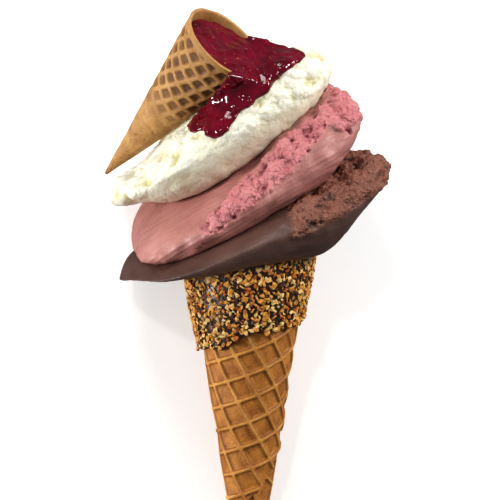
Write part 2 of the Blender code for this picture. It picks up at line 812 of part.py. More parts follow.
def drape(bm, outline, support):
    """Lifts the flat pool onto what carries it, then lets its top settle like a thick liquid."""
    floors, least = {}, {}
    for vert in bm.verts:
        hit = support.ray_cast(vert.co + FRONT * 0.2, -FRONT)[0]
        depth = inside_distance(vert.co.to_2d(), outline)[0]
        rise = 1 - min(1.0, max(0.0, depth) / SAUCE_EDGE)
        least[vert] = SAUCE_THICKNESS * math.sqrt(1 - rise * rise)
        floors[vert] = hit.z if hit and hit.z > 0 else None
    for vert in bm.verts:
        vert.co.z = (floors[vert] or 0) + least[vert]
    for _ in range(SAUCE_SETTLING):
        heights = {}
        for vert in bm.verts:
            around = [edge.other_vert(vert).co.z for edge in vert.link_edges]
            settled = sum(around) / len(around)
            floor = floors[vert]
            if floor is None:
                heights[vert] = settled
            elif vert.is_boundary:
                heights[vert] = floor
            else:
                heights[vert] = max(floor + 0.7 * least[vert], 0.5 * settled + 0.5 * vert.co.z)
        for vert, height in heights.items():
            vert.co.z = height
    return floors


def brimming_cone():
    """The small cone, with its mouth cut along the surface of the sauce that fills it."""
    return replace(SMALL_CONE, mouth_normal=Vector((-SAUCE_SLOPE, 1, 0)).normalized())


def make_sauce(support, slab_clearance):
    """The sauce: what fills the small cone, joined to the pool that has run over the slab."""
    finish = material("berry_sauce", (0.30, 0.005, 0.03), 0.12)
    outline = closed_curve(SAUCE_OUTLINE, 3)
    bm = pool_grid(outline, SAUCE_CELL)
    floors = drape(bm, outline, support)
    unders = {}
    for vert in list(bm.verts):
        floor = floors[vert]
        under = vert.co.z - SAUCE_UNDERSIDE
        if floor is not None:
            under = min(under, floor - 2.5 * MM)
        unders[vert] = under
    copies = bmesh.ops.duplicate(bm, geom=bm.verts[:] + bm.edges[:] + bm.faces[:])
    border = [edge for edge in bm.edges if edge.is_boundary]
    for vert, under in unders.items():
        copies["vert_map"][vert].co.z = under
    bmesh.ops.bridge_loops(bm, edges=border)
    bmesh.ops.triangulate(bm, faces=bm.faces)
    pool = new_object("berry_sauce", bm, finish)

    filling = hollow_filling(brimming_cone(), -SAUCE_LEVEL, 0.4 * GAP)
    filling = hide_as_cutter(new_object("sauce_filling_tool", filling, place=SMALL_CONE_PLACE))
    shell = hide_as_cutter(new_object("small_shell_tool", shell_clearance(), place=SMALL_CONE_PLACE))
    boolean(pool, slab_clearance)
    boolean(pool, filling, "UNION")
    boolean(pool, shell)
    apply_modifiers(pool)
    keep_largest_body(pool)
    shade_smooth(pool, 50)
    return pool


def shell_clearance():
    """The small cone's wall grown by the gap both ways, without the pockets, as a cutter."""
    cone = SMALL_CONE
    inset = (cone.wall + GAP) / math.cos(cone.half_angle)
    profile = tip_profile(cone, GAP)
    profile += [(cone.mouth_radius + GAP, 0), (cone.mouth_radius + GAP, GAP)]
    profile += [(cone.mouth_radius - inset, GAP)]
    profile += hollow_profile(cone, GAP, -cone.wall * 0.25)[::-1]
    bm = turned(profile, cone.sides)
    slant_mouth(bm, cone, -cone.wall * 0.5)
    return bm


# Assembly


def clear_scene():
    for obj in list(bpy.data.objects):
        bpy.data.objects.remove(obj)


def rim_clearance():
    """Room in the chocolate slab for the dipped mouth that it sits on."""
    return cone_solid(LARGE_CONE, COAT_THICKNESS + 2 * GAP + 0.3 * MM, GAP)


def make_gelato_stack(small_cone_room):
    """The three slabs, each resting on the one below with the gap between them."""
    chocolate = gelato_object("chocolate_gelato", CHOCOLATE, chocolate_crumb, (0.17, 0.075, 0.045))
    rim = hide_as_cutter(new_object("rim_clearance_tool", rim_clearance()))
    filling = hide_as_cutter(new_object("cone_filling_tool", hollow_filling(LARGE_CONE, 6 * MM)))
    boolean(chocolate, rim)
    boolean(chocolate, filling, "UNION")

    strawberry = gelato_object("strawberry_gelato", STRAWBERRY, strawberry_crumb, (0.58, 0.20, 0.20))
    boolean(strawberry, clearance_of(CHOCOLATE, chocolate_crumb, "chocolate"))

    vanilla = gelato_object("vanilla_gelato", VANILLA, vanilla_crumb, (0.83, 0.79, 0.60))
    boolean(vanilla, clearance_of(STRAWBERRY, strawberry_crumb, "strawberry"))
    boolean(vanilla, small_cone_room)
    return chocolate, strawberry, vanilla


def support_under_sauce(slab_bmesh):
    """Everything that carries the sauce, as one tree to drop rays on."""
    carrier = slab_bmesh.copy()
    full_cone = cone_solid(brimming_cone(), SAUCE_OVER_RIM, -SAUCE_LEVEL)
    full_cone.transform(SMALL_CONE_PLACE)
    mesh = bpy.data.meshes.new("full small cone")
    full_cone.to_mesh(mesh)
    full_cone.free()
    carrier.from_mesh(mesh)
    bpy.data.meshes.remove(mesh)
    return BVHTree.FromBMesh(carrier)


def lay_down(pieces):
    """Tips everything back until the tip lies on the table, and presses flats where it rests."""
    lying = bpy.data.objects.new("lying_on_its_back", None)
    bpy.context.scene.collection.objects.link(lying)
    lying.rotation_euler.x = LYING_TILT
    lying.location.z = AXIS_HEIGHT
    for obj in list(bpy.data.objects):
        if obj is not lying:
            obj.parent = lying
    bm = bmesh.new()
    bmesh.ops.create_cube(bm, size=1)
    bmesh.ops.scale(bm, vec=(0.5, 0.6, 0.02), verts=bm.verts)
    bmesh.ops.translate(bm, vec=(0, 0, -0.01), verts=bm.verts)
    table = hide_as_cutter(new_object("table_tool", bm))
    for piece in pieces:
        boolean(piece, table)
    bpy.context.view_layer.update()
    centre_on_origin(lying, pieces)


def centre_on_origin(lying, pieces):
    """Moves the whole so that the origin is under the middle of its bounding box."""
    graph = bpy.context.evaluated_depsgraph_get()
    corners = []
    for obj in bpy.data.objects:
        if obj.type == "MESH" and not obj.hide_render:
            evaluated = obj.evaluated_get(graph)
            corners += [evaluated.matrix_world @ vert.co for vert in evaluated.data.vertices]
    for axis in (0, 1):
        values = [corner[axis] for corner in corners]
        lying.location[axis] = -(min(values) + max(values)) / 2


def main():
    clear_scene()
    slab_under_sauce = gelato(VANILLA, vanilla_crumb)
    wafer = make_large_cone()
    make_small_cone(slab_under_sauce)
    room = cone_solid(SMALL_CONE, 1.4 * GAP, 2 * MM)
    small_cone_room = hide_as_cutter(new_object("small_cone_room_tool", room, place=SMALL_CONE_PLACE))
    chocolate, strawberry, vanilla = make_gelato_stack(small_cone_room)

    slab_over_coat = gelato(CHOCOLATE, chocolate_crumb)
    coat = make_nut_coat(slab_over_coat)
    slab_over_coat.free()

    support = support_under_sauce(slab_under_sauce)
    slab_under_sauce.free()
    make_sauce(support, clearance_of(VANILLA, vanilla_crumb, "vanilla"))

    lay_down((wafer, coat, chocolate, strawberry, vanilla))


main()
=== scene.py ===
# %% [markdown]
# # An ice cream cone that lies on its back
#
# The frame holds plain solids of the whole dessert at its real size: a rolled waffle cone, its
# mouth dipped in chocolate and chopped nuts, three slabs of gelato, a small wafer cone and the
# berry sauce that runs out of it. They have the right places and outlines but no surface. Each
# cell below takes one of them and gives it the surface that the real food has.

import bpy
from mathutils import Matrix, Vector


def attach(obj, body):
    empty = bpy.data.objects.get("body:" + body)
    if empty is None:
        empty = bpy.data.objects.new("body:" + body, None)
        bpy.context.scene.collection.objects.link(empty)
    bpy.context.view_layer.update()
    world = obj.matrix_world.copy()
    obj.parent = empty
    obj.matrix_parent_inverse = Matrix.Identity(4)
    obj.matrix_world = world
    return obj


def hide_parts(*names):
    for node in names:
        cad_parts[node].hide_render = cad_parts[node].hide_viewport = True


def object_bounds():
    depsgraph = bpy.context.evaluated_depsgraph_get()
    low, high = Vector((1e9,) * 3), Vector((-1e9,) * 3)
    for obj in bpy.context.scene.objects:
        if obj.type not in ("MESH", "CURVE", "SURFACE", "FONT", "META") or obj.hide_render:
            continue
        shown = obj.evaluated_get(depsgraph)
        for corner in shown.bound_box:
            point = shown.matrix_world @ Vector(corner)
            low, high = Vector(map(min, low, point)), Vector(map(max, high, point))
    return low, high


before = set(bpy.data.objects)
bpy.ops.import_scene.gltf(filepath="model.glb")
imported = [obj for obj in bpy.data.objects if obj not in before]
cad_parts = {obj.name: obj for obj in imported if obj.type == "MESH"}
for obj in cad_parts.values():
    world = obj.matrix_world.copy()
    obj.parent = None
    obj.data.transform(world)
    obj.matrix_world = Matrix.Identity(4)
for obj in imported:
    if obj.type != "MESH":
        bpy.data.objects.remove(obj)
cad_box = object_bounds()
print("solids:", sorted(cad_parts))

# %% [markdown]
# ## One frame for the cone
#
# A cone is easiest to describe upright: +Y up its axis, Z out of the side that is shown, and the
# middle of its mouth at the origin. The dessert lies on its back, so one matrix tips that upright
# frame over until the cone's tip touches the table. Everything below is first made upright, in
# metres, and then laid down with that matrix.

# %% The upright frame and the matrix that lays it down
import math
import random

import bmesh
import bpy
from mathutils import Matrix, Vector, noise
from mathutils.bvhtree import BVHTree

noise.seed_set(7)  # without a seed, noise vectors differ from run to run
MM = 0.001
BOX_MARGIN = 0.02 * MM  # how far every piece stays inside the solids' box
LYING_TILT = math.radians(10.8)
LYING = Matrix.Translation(Vector((1.5, 24.6, 32.1)) * MM) @ Matrix.Rotation(LYING_TILT, 4, "X")
STANDING = LYING.inverted()


def smooth_step(low, high, value):
    share = min(1.0, max(0.0, (value - low) / (high - low)))
    return share * share * (3 - 2 * share)


def finished(name, bm, node, place=LYING, smooth=True):
    """Turns a bmesh into a piece of the dessert: laid down, riding on the body, for its node. What
    would pass the solids' box, such as a crumb or the table side of a nut, is pressed back to it."""
    bmesh.ops.recalc_face_normals(bm, faces=bm.faces)
    bm.transform(place)
    for vert in bm.verts:
        for axis, (least, most) in enumerate(zip(*cad_box)):
            vert.co[axis] = min(most - BOX_MARGIN, max(least + BOX_MARGIN, vert.co[axis]))
    mesh = bpy.data.meshes.new(name)
    bm.to_mesh(mesh)
    bm.free()
    piece = bpy.data.objects.new(name, mesh)
    bpy.context.scene.collection.objects.link(piece)
    if smooth:
        mesh.shade_smooth()
    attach(piece, "root")
    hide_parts(node)
    print(f"{name}: {len(mesh.polygons)} faces")
    return piece


wafer_points = [STANDING @ vert.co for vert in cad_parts["wafer_cone"].data.vertices]
tip = min(wafer_points, key=lambda point: point.y)
print("the cone's tip, in the upright frame, mm:", [round(value / MM, 1) for value in tip])

# %% [markdown]
# ## The camera
#
# The photograph was taken with a long lens, square to the cone. The camera stands a metre off and
# looks straight at the shown side, so it looks almost straight down on the lying dessert.

# %% Camera
CAMERA_DISTANCE = 1.0
FRAME_WIDTH = 230 * MM  # what the photograph's width spans at the cone's axis
scene = bpy.context.scene

camera_data = bpy.data.cameras.new("camera")
camera_data.sensor_width = 36
camera_data.lens = 36 * CAMERA_DISTANCE / FRAME_WIDTH
camera_data.clip_end = 10
camera = bpy.data.objects.new("camera", camera_data)
scene.collection.objects.link(camera)
camera.matrix_world = LYING @ Matrix.Translation((0.7 * MM, 2.3 * MM, CAMERA_DISTANCE))
scene.camera = camera
scene.view_settings.view_transform = "Standard"
scene.view_settings.look = "Medium High Contrast"
print("camera lens, mm:", round(camera_data.lens, 1))

# %% [markdown]
# ## Light
#
# Soft boxes stand low on the left and on the right and one beyond the top, so that crumbs and ribs
# throw short shadows. A small one near the camera gives the sauce its crisp highlights.


# %% Lights
def area_light(name, place, size, power):
    """A square soft box at an upright place, aimed at the gelato."""
    data = bpy.data.lights.new(name, "AREA")
    data.size = size
    data.energy = power
    light = bpy.data.objects.new(name, data)
    scene.collection.objects.link(light)
    target = LYING @ Vector((0, 0.02, 0))
    light.location = LYING @ Vector(place)
    light.rotation_euler = (target - light.location).to_track_quat("-Z", "Y").to_euler()
    print(f"{name} light: {power} W")


area_light("left", (-1.0, -0.05, 0.3), 0.25, 9.4)
area_light("right", (0.85, 0.6, 0.45), 0.35, 10.5)
area_light("top", (-0.3, 1.1, 0.45), 0.35, 4.0)
area_light("front", (-0.35, 0.6, 1.1), 0.09, 1.8)
world = bpy.data.worlds.new("studio")
scene.world = world
world.use_nodes = True
world.node_tree.nodes["Background"].inputs["Color"].default_value = (1, 1, 1, 1)
world.node_tree.nodes["Background"].inputs["Strength"].default_value = 0.25

# %% [markdown]
# ## Tools for finishes
#
# Every material below is built from the same few kinds of node, so each kind gets a short function.


# %% Functions that add nodes
def add(tree, kind, links=(), **settings):
    """A node with its settings, and links given as (input name or number, output socket or value)."""
    node = tree.nodes.new(kind)
    for name, value in settings.items():
        setattr(node, name, value)
    for name, source in links:
        if isinstance(source, bpy.types.NodeSocket):
            tree.links.new(source, node.inputs[name])
        else:
            node.inputs[name].default_value = source
    return node


def maths(tree, operation, *values, use_clamp=False):
    return add(tree, "ShaderNodeMath", enumerate(values), operation=operation, use_clamp=use_clamp).outputs[0]


def noise_value(tree, place, scale, detail, roughness):
    links = (("Vector", place), ("Scale", scale), ("Detail", detail), ("Roughness", roughness))
    return add(tree, "ShaderNodeTexNoise", links).outputs["Fac"]


def mixed(tree, share, low, high):
    """The value between low and high, where the share says."""
    return add(tree, "ShaderNodeMix", ((0, share), (2, low), (3, high)), data_type="FLOAT").outputs[0]


def blended(tree, share, low, high):
    """The colour between low and high, where the share says."""
    return add(tree, "ShaderNodeMix", ((0, share), (6, low), (7, high)), data_type="RGBA").outputs[2]


def vertex_value(tree, name):
    return add(tree, "ShaderNodeAttribute", attribute_name=name).outputs["Fac"]


def new_finish(name, roughness, subsurface=0.0, radius=(1.0, 0.5, 0.3), scale=0.002):
    """A material with its shader, whose constant values are set on the shader's own sockets."""
    finish = bpy.data.materials.new(name)
    finish.use_nodes = True
    shader = finish.node_tree.nodes["Principled BSDF"]
    shader.inputs["Roughness"].default_value = roughness
    shader.inputs["Subsurface Weight"].default_value = subsurface
    shader.inputs["Subsurface Radius"].default_value = radius
    shader.inputs["Subsurface Scale"].default_value = scale
    return finish, finish.node_tree, shader


print("functions for finishes:", [tool.__name__ for tool in (maths, noise_value, mixed, blended)])

# %% [markdown]
# ## The table
#
# The photograph's ground is pure white, so the table is white and glows a little for the camera
# alone. Glossy things see it much darker, because the sauce in the photograph mirrors a dark room.

# %% Table
TABLE_WHITE = (0.88, 0.88, 0.88, 1)
TABLE_IN_MIRRORS = (0.12, 0.12, 0.12, 1)
TABLE_GLOW = 0.24

floor_bm = bmesh.new()
bmesh.ops.create_grid(floor_bm, x_segments=1, y_segments=1, size=3)
floor_mesh = bpy.data.meshes.new("table")
floor_bm.to_mesh(floor_mesh)
floor_bm.free()
table = bpy.data.objects.new("table", floor_mesh)
scene.collection.objects.link(table)
table_finish, table_tree, table_shader = new_finish("white table", 0.9)
table_shader.inputs["Specular IOR Level"].default_value = 0.2
table_shader.inputs["Emission Color"].default_value = (1, 1, 1, 1)
ray = add(table_tree, "ShaderNodeLightPath")
table_colour = blended(table_tree, ray.outputs["Is Glossy Ray"], TABLE_WHITE, TABLE_IN_MIRRORS)
table_tree.links.new(table_colour, table_shader.inputs["Base Color"])
glow = maths(table_tree, "MULTIPLY", ray.outputs["Is Camera Ray"], TABLE_GLOW)
table_tree.links.new(glow, table_shader.inputs["Emission Strength"])
table.data.materials.append(table_finish)
print("table, m:", [round(value) for value in table.dimensions])

# %% [markdown]
# ## Effects that all the foods share
#
# Two effects come back in every food here. *Mottle* varies a colour in soft patches and fine
# grains, as baked or frozen food always does. *Grain* is the fine relief that is too small to
# model: pores in wafer, ice crystals in gelato. Each is a node group with named inputs, so that
# every material sets its own sizes and strengths.


# %% Node groups: mottle and grain
def new_group(name, inputs, output, output_kind):
    """A node group with its inputs and one output."""
    group = bpy.data.node_groups.new(name, "ShaderNodeTree")
    for label, value in inputs.items():
        kind = "NodeSocketColor" if isinstance(value, tuple) else "NodeSocketFloat"
        group.interface.new_socket(label, in_out="INPUT", socket_type=kind).default_value = value
    group.interface.new_socket(output, in_out="OUTPUT", socket_type=output_kind)
    enter = group.nodes.new("NodeGroupInput")
    leave = group.nodes.new("NodeGroupOutput")
    return group, enter.outputs, leave.inputs[output]


def build_mottle():
    group, given, result = new_group(
        "Mottle",
        {
            "Light": (0.8, 0.8, 0.8, 1),
            "Dark": (0.2, 0.2, 0.2, 1),
            "Patch Size": 0.012,
            "Grain Size": 0.0008,
            "Grain Share": 0.35,
            "Contrast": 1.0,
        },
        "Color",
        "NodeSocketColor",
    )
    place = add(group, "ShaderNodeTexCoord").outputs["Object"]
    patch = noise_value(group, place, maths(group, "DIVIDE", 1.0, given["Patch Size"]), 5.0, 0.6)
    grain = noise_value(group, place, maths(group, "DIVIDE", 1.0, given["Grain Size"]), 3.0, 0.6)
    both = mixed(group, given["Grain Share"], patch, grain)
    spread = maths(group, "MULTIPLY", maths(group, "SUBTRACT", both, 0.5), given["Contrast"])
    steep = maths(group, "MULTIPLY_ADD", spread, 3.0, 0.5, use_clamp=True)
    group.links.new(blended(group, steep, given["Dark"], given["Light"]), result)
    return group


def build_grain():
    sizes = {"Size": 0.001, "Depth": 0.0002, "Pits": 0.3}
    group, given, result = new_group("Grain", sizes, "Normal", "NodeSocketVector")
    place = add(group, "ShaderNodeTexCoord").outputs["Object"]
    scale = maths(group, "DIVIDE", 1.0, given["Size"])
    rough = noise_value(group, place, scale, 4.0, 0.65)
    cells = add(group, "ShaderNodeTexVoronoi", (("Vector", place), ("Scale", scale)))
    height = mixed(group, given["Pits"], rough, cells.outputs["Distance"])
    relief = (("Height", height), ("Distance", given["Depth"]), ("Strength", 1.0))
    bump = add(group, "ShaderNodeBump", relief)
    group.links.new(bump.outputs["Normal"], result)
    return group


MOTTLE = build_mottle()
GRAIN = build_grain()


def use_group(tree, group, **values):
    node = tree.nodes.new("ShaderNodeGroup")
    node.node_tree = group
    for label, value in values.items():
        node.inputs[label.replace("_", " ")].default_value = value
    return node


def colour_and_grain(tree, shader, colour, **grain_values):
    """Gives the shader a colour socket and the grain's normal."""
    tree.links.new(colour, shader.inputs["Base Color"])
    grain = use_group(tree, GRAIN, **grain_values)
    tree.links.new(grain.outputs["Normal"], shader.inputs["Normal"])
    return grain


print("groups:", [group.name for group in bpy.data.node_groups])

# %% [markdown]
# ## The rolled wafer
#
# A waffle cone starts as a flat disc from a waffle iron and is rolled up while it is hot. So its
# pattern is straight on the flat sheet and only looks curved because the sheet is. The script does
# the same. A roll turns a flat place on the sheet into a point of the cone, and a waffle says how
# deep in a pocket that flat place is.


# %% The roll and the waffle pattern
class Roll:
    """A sheet rolled into a cone: flat points are (distance from the apex, angle on the sheet)."""

    def __init__(self, mouth_radius, apex, wall, tip_radius, mouth_normal):
        self.mouth_radius = mouth_radius
        self.apex = apex
        self.wall = wall
        self.tip_radius = tip_radius
        self.mouth_normal = mouth_normal.normalized()
        self.lean = math.atan(mouth_radius / apex)
        self.turn = math.tau * math.sin(self.lean)  # one full turn, as an angle on the sheet
        self.mouth = apex / math.cos(self.lean)  # the square mouth's distance from the apex
        self.tip = tip_radius / math.tan(self.lean)  # where the rounded tip meets the side

    def on_side(self, distance, angle, height):
        theta = angle / math.sin(self.lean)
        radius = distance * math.sin(self.lean) + height * math.cos(self.lean)
        up = distance * math.cos(self.lean) - height * math.sin(self.lean) - self.apex
        return Vector((radius * math.sin(theta), up, radius * math.cos(theta)))

    def on_tip(self, share, angle, height):
        """The rounded tip: share runs from 0 at its end to 1 where the side begins."""
        theta = angle / math.sin(self.lean)
        swing = share * (math.pi / 2 - self.lean)
        radius = self.tip_radius + height
        up = self.tip_radius / math.sin(self.lean) - radius * math.cos(swing) - self.apex
        out = radius * math.sin(swing)
        return Vector((out * math.sin(theta), up, out * math.cos(theta)))

    def rim_shift(self, angle):
        """How far the slanted rim lies from the square mouth, up the side."""
        theta = angle / math.sin(self.lean)
        normal = self.mouth_normal
        slope = -(normal.x * math.sin(theta) + normal.z * math.cos(theta)) / normal.y
        return self.mouth_radius * slope / (math.cos(self.lean) - math.sin(self.lean) * slope)


class Waffle:
    """The iron's pattern on the flat sheet: one crossing of ribs and the steps to the next ones."""

    def __init__(self, crossing, step_a, step_b, rib, depth, edge):
        self.crossing = crossing
        self.step_a = step_a
        self.step_b = step_b
        self.rib = rib
        self.depth = depth
        self.edge = edge
        self.area = step_a.cross(step_b)

    def pocket(self, distance, angle):
        """0 on a rib, 1 on the floor of a pocket, with rounded corners between."""
        place = Vector((distance * math.cos(angle), distance * math.sin(angle))) - self.crossing
        share_a = place.cross(self.step_b) / self.area
        share_b = self.step_a.cross(place) / self.area
        from_b = abs(share_a - round(share_a)) * abs(self.area) / self.step_b.length
        from_a = abs(share_b - round(share_b)) * abs(self.area) / self.step_a.length
        low, high = self.rib / 2 - self.edge / 2, self.rib / 2 + self.edge
        return smooth_step(low, high, from_a) * smooth_step(low, high, from_b)


print("two classes:", Roll.__name__, "and", Waffle.__name__)

# %% [markdown]
# ## From a grid to a wafer
#
# A flat grid is bridged into a tube whose first rows become the rounded tip. Every point is then
# rolled up and moved out or in by its height. The edge of the outermost turn is a straight cut on
# the sheet, which becomes the seam that winds round the cone. Last the rim is rounded over.

# %% Rolling and closing a wafer
TIP_ROWS = 9
# The rim's section: how much of the wall's depth each step reaches, and how many mm down it goes.
RIM_STEPS = ((0.15, 0.0), (0.5, -0.1), (0.85, 0.0), (1.0, 0.5), (1.0, 4.0), (1.0, 12.0))


def side_edges(grid):
    """The left and right borders of a flat grid."""
    borders = [edge for edge in grid.edges if edge.is_boundary]
    return [edge for edge in borders if abs(edge.verts[0].co.x - edge.verts[1].co.x) < 1e-6]


def rolled_wafer(roll, columns, rows, seam_angle, height_at):
    """A closed wafer. seam_angle(distance) is the seam's angle on the sheet, and height_at gives
    a flat point's height and how deep in a pocket it is."""
    bm = bmesh.new()
    pocket_layer = bm.verts.layers.float.new("pocket")
    bmesh.ops.create_grid(bm, x_segments=columns, y_segments=rows, size=0.5)
    bmesh.ops.bridge_loops(bm, edges=side_edges(bm))
    tip_share = TIP_ROWS / rows
    for vert in bm.verts:
        turn_share, climb = vert.co.x - 0.5, vert.co.y + 0.5
        if climb < tip_share:
            distance = roll.tip
        else:
            distance = roll.tip + (climb - tip_share) / (1 - tip_share) * (roll.mouth - roll.tip)
        angle = seam_angle(distance) + turn_share * roll.turn
        height, pocket = height_at(distance, angle, turn_share)
        vert[pocket_layer] = pocket
        if climb < tip_share:
            share = climb / tip_share
            vert.co = roll.on_tip(share, angle, height * share)
        else:
            distance += roll.rim_shift(angle) * smooth_step(0.8, 1, climb)
            vert.co = roll.on_side(distance, angle, height)
    bmesh.ops.remove_doubles(bm, verts=bm.verts, dist=0.001 * MM)
    return bm


def close_inside(bm, roll):
    """Rounds the rim over, carries the wall a little way down the inside and closes it there."""
    loop = [edge for edge in bm.edges if edge.is_boundary]
    for depth, sink in RIM_STEPS:
        made = bmesh.ops.extrude_edge_only(bm, edges=loop)["geom"]
        loop = [item for item in made if isinstance(item, bmesh.types.BMEdge)]
        loop = [edge for edge in loop if edge.is_boundary]
        for vert in {vert for edge in loop for vert in edge.verts}:
            theta = math.atan2(vert.co.x, vert.co.z)
            side = roll.on_side(1, theta * math.sin(roll.lean), 0) - roll.on_side(0, 0, 0)
            radius = math.hypot(vert.co.x, vert.co.z)
            outer = (vert.co.y + roll.apex) * math.tan(roll.lean)
            depth_now = outer - radius
            inwards = Vector((math.sin(theta), 0, math.cos(theta)))
            vert.co -= inwards * (depth * roll.wall - depth_now)
            vert.co -= side.normalized() * sink * MM
    bmesh.ops.contextual_create(bm, geom=loop)


print("rows of the rounded tip:", TIP_ROWS)

# %% [markdown]
# ## The large wafer
#
# Its seam starts at the back near the tip and winds round to the right of the front. The sheet
# stands a millimetre proud along it and thins away from it. Under the dipped mouth the seam is
# pressed flat.

# %% The large wafer, with its wrapped seam
LARGE = Roll(28.2 * MM, 174.5 * MM, 2.6 * MM, 2.6 * MM, Vector((-0.225, 0.974, 0)))
LARGE_WAFFLE = Waffle(
    Vector((121.5, -1.0)) * MM, Vector((-9.1, 5.2)) * MM, Vector((3.2, 9.2)) * MM,
    rib=1.4 * MM, depth=1.2 * MM, edge=0.9 * MM,
)
SEAM_START = Vector((41.0, -22.4)) * MM
SEAM_ALONG = (Vector((132.0, 67.0)) * MM - SEAM_START).normalized()
SEAM_ACROSS = Vector((SEAM_ALONG.y, -SEAM_ALONG.x))
SEAM_STEP = 1.0 * MM
SEAM_FADE = 16 * MM


def large_seam_angle(distance):
    """The straight cut edge of the sheet, which starts at the back near the tip."""
    foot = SEAM_ACROSS * SEAM_START.dot(SEAM_ACROSS)
    reach = max(distance, SEAM_START.length)
    return math.atan2(foot.y, foot.x) + math.acos(foot.length / reach)


def large_height(distance, angle, turn_share):
    flat = Vector((distance * math.cos(angle), distance * math.sin(angle)))
    pocket = LARGE_WAFFLE.pocket(distance, angle)
    faint = smooth_step(14 * MM, 30 * MM, distance)
    step = 0.0
    along = (flat - SEAM_START).dot(SEAM_ALONG)
    inside = (flat - SEAM_START).dot(SEAM_ACROSS)
    if turn_share > -0.5 and inside < SEAM_FADE and along > -2 * MM:
        step = SEAM_STEP * (1 - max(0, inside) / SEAM_FADE) * smooth_step(-2 * MM, 4 * MM, along)
    place = LARGE.on_side(distance, angle, 0) / MM
    swell = noise.noise(place / 16) * 0.25 * MM + noise.noise(place / 3.5) * 0.09 * MM
    under_coat = 1 - smooth_step(146 * MM, 152 * MM, distance)
    return step * under_coat - LARGE_WAFFLE.depth * pocket * faint + swell * 0.6, pocket * faint


wafer_bm = rolled_wafer(LARGE, 300, 270, large_seam_angle, large_height)
close_inside(wafer_bm, LARGE)
large_wafer = finished("large_wafer", wafer_bm, "wafer_cone")
print("large wafer, mm:", [round(value / MM) for value in large_wafer.dimensions])

# %% [markdown]
# ## The small wafer
#
# It is rolled the same way and then laid into the vanilla with a matrix of its own. Its pockets
# show near the mouth, stop under a smooth rim, and fade into a few creases towards the tip.

# %% The small wafer, pressed into the vanilla
SMALL = Roll(20.9 * MM, 98.8 * MM, 1.9 * MM, 1.0 * MM, Vector((0, 1, 0)))
SMALL_PLACE = (
    Matrix.Translation(Vector((-10.3, 96.0, 17.0)) * MM)
    @ Matrix.Rotation(math.radians(45 - 90), 4, "Z")
    @ Matrix.Rotation(math.radians(31), 4, "X")
)
SMALL_STANDING = SMALL_PLACE.inverted()
SMALL_WAFFLE = Waffle(
    Vector((70.6, -5.3)) * MM, Vector((5.8, 3.0)) * MM, Vector((-2.0, 6.5)) * MM,
    rib=2.0 * MM, depth=1.1 * MM, edge=1.1 * MM,
)


def small_height(distance, angle, turn_share):
    pocket = SMALL_WAFFLE.pocket(distance, angle)
    rim = SMALL.mouth + SMALL.rim_shift(angle)
    shifted = distance + SMALL.rim_shift(angle) * smooth_step(0.8, 1, distance / SMALL.mouth)
    below_rim = 1 - smooth_step(rim - 3.4 * MM, rim - 2.6 * MM, shifted)
    deep = (0.1 + 0.9 * smooth_step(50 * MM, 72 * MM, distance)) * below_rim
    place = SMALL.on_side(distance, angle, 0) / MM
    swell = (noise.noise(place / 9 + Vector((3, 1, 7))) - 0.6) * 0.25 * MM
    crease = noise.noise(Vector((distance / MM / 2.2, angle * 14, 3)))
    swell -= 0.35 * MM * smooth_step(0.15, 0.5, crease) * (1 - smooth_step(50 * MM, 66 * MM, distance))
    fade = smooth_step(8 * MM, 25 * MM, distance)
    return swell - SMALL_WAFFLE.depth * pocket * deep * fade, pocket * deep


small_bm = rolled_wafer(SMALL, 220, 200, lambda distance: SMALL.turn / 2, small_height)
close_inside(small_bm, SMALL)
small_wafer = finished("small_wafer", small_bm, "small_cone", LYING @ SMALL_PLACE)
print("small wafer, mm:", [round(value / MM) for value in small_wafer.dimensions])

# %% [markdown]
# ## Baked colour
#
# The iron browns what touches it. On the large wafer the raised ribs are pale gold and the pocket
# floors are deeper orange; the narrow walls between them get a painted shade, darkest of all. The
# small wafer's pockets are brown throughout, and its walls take a tone between rib and floor. The
# depth that the rolling cell stored on each vertex picks between those colours, and mottle varies them.


# %% Wafer material
def wafer_finish(name, rib_light, rib_dark, floor_light, floor_dark, wall):
    finish, tree, shader = new_finish(name, 0.62, 0.12, (1.0, 0.45, 0.15), 0.0012)
    depth = vertex_value(tree, "pocket")
    ribs = use_group(tree, MOTTLE, Light=rib_light, Dark=rib_dark, Patch_Size=0.010, Grain_Size=0.0007)
    floors = use_group(
        tree, MOTTLE, Light=floor_light, Dark=floor_dark, Patch_Size=0.007, Grain_Size=0.0007
    )
    body = blended(tree, depth, ribs.outputs["Color"], floors.outputs["Color"])
    # Painted shade: where the depth is near half, on the pocket walls, the colour turns towards the wall
    # colour; on the large wafer that is a dark shade, on the small wafer a tone between rib and floor.
    from_middle = maths(tree, "ABSOLUTE", maths(tree, "SUBTRACT", depth, 0.5))
    edge = add(tree, "ShaderNodeMapRange", (("Value", from_middle), ("From Min", 0.42), ("From Max", 0.1)))
    colour = blended(tree, maths(tree, "MULTIPLY", edge.outputs[0], 0.6), body, wall)
    colour_and_grain(tree, shader, colour, Size=0.0011, Depth=0.00022, Pits=0.35)
    shader.inputs["Specular IOR Level"].default_value = 0.35
    return finish


# The large wafer's last colour is the painted shade of its pocket walls.
large_finish = wafer_finish(
    "large wafer", (0.66, 0.33, 0.078, 1), (0.32, 0.108, 0.016, 1), (0.54, 0.23, 0.04, 1),
    (0.20, 0.055, 0.006, 1), (0.12, 0.032, 0.004, 1),
)
large_wafer.data.materials.append(large_finish)
small_finish = wafer_finish(
    "small wafer", (0.52, 0.30, 0.11, 1), (0.28, 0.125, 0.034, 1), (0.20, 0.09, 0.03, 1),
    (0.09, 0.037, 0.012, 1), (0.24, 0.11, 0.035, 1),
)
small_wafer.data.materials.append(small_finish)
print("wafer finishes:", large_finish.name, "and", small_finish.name)

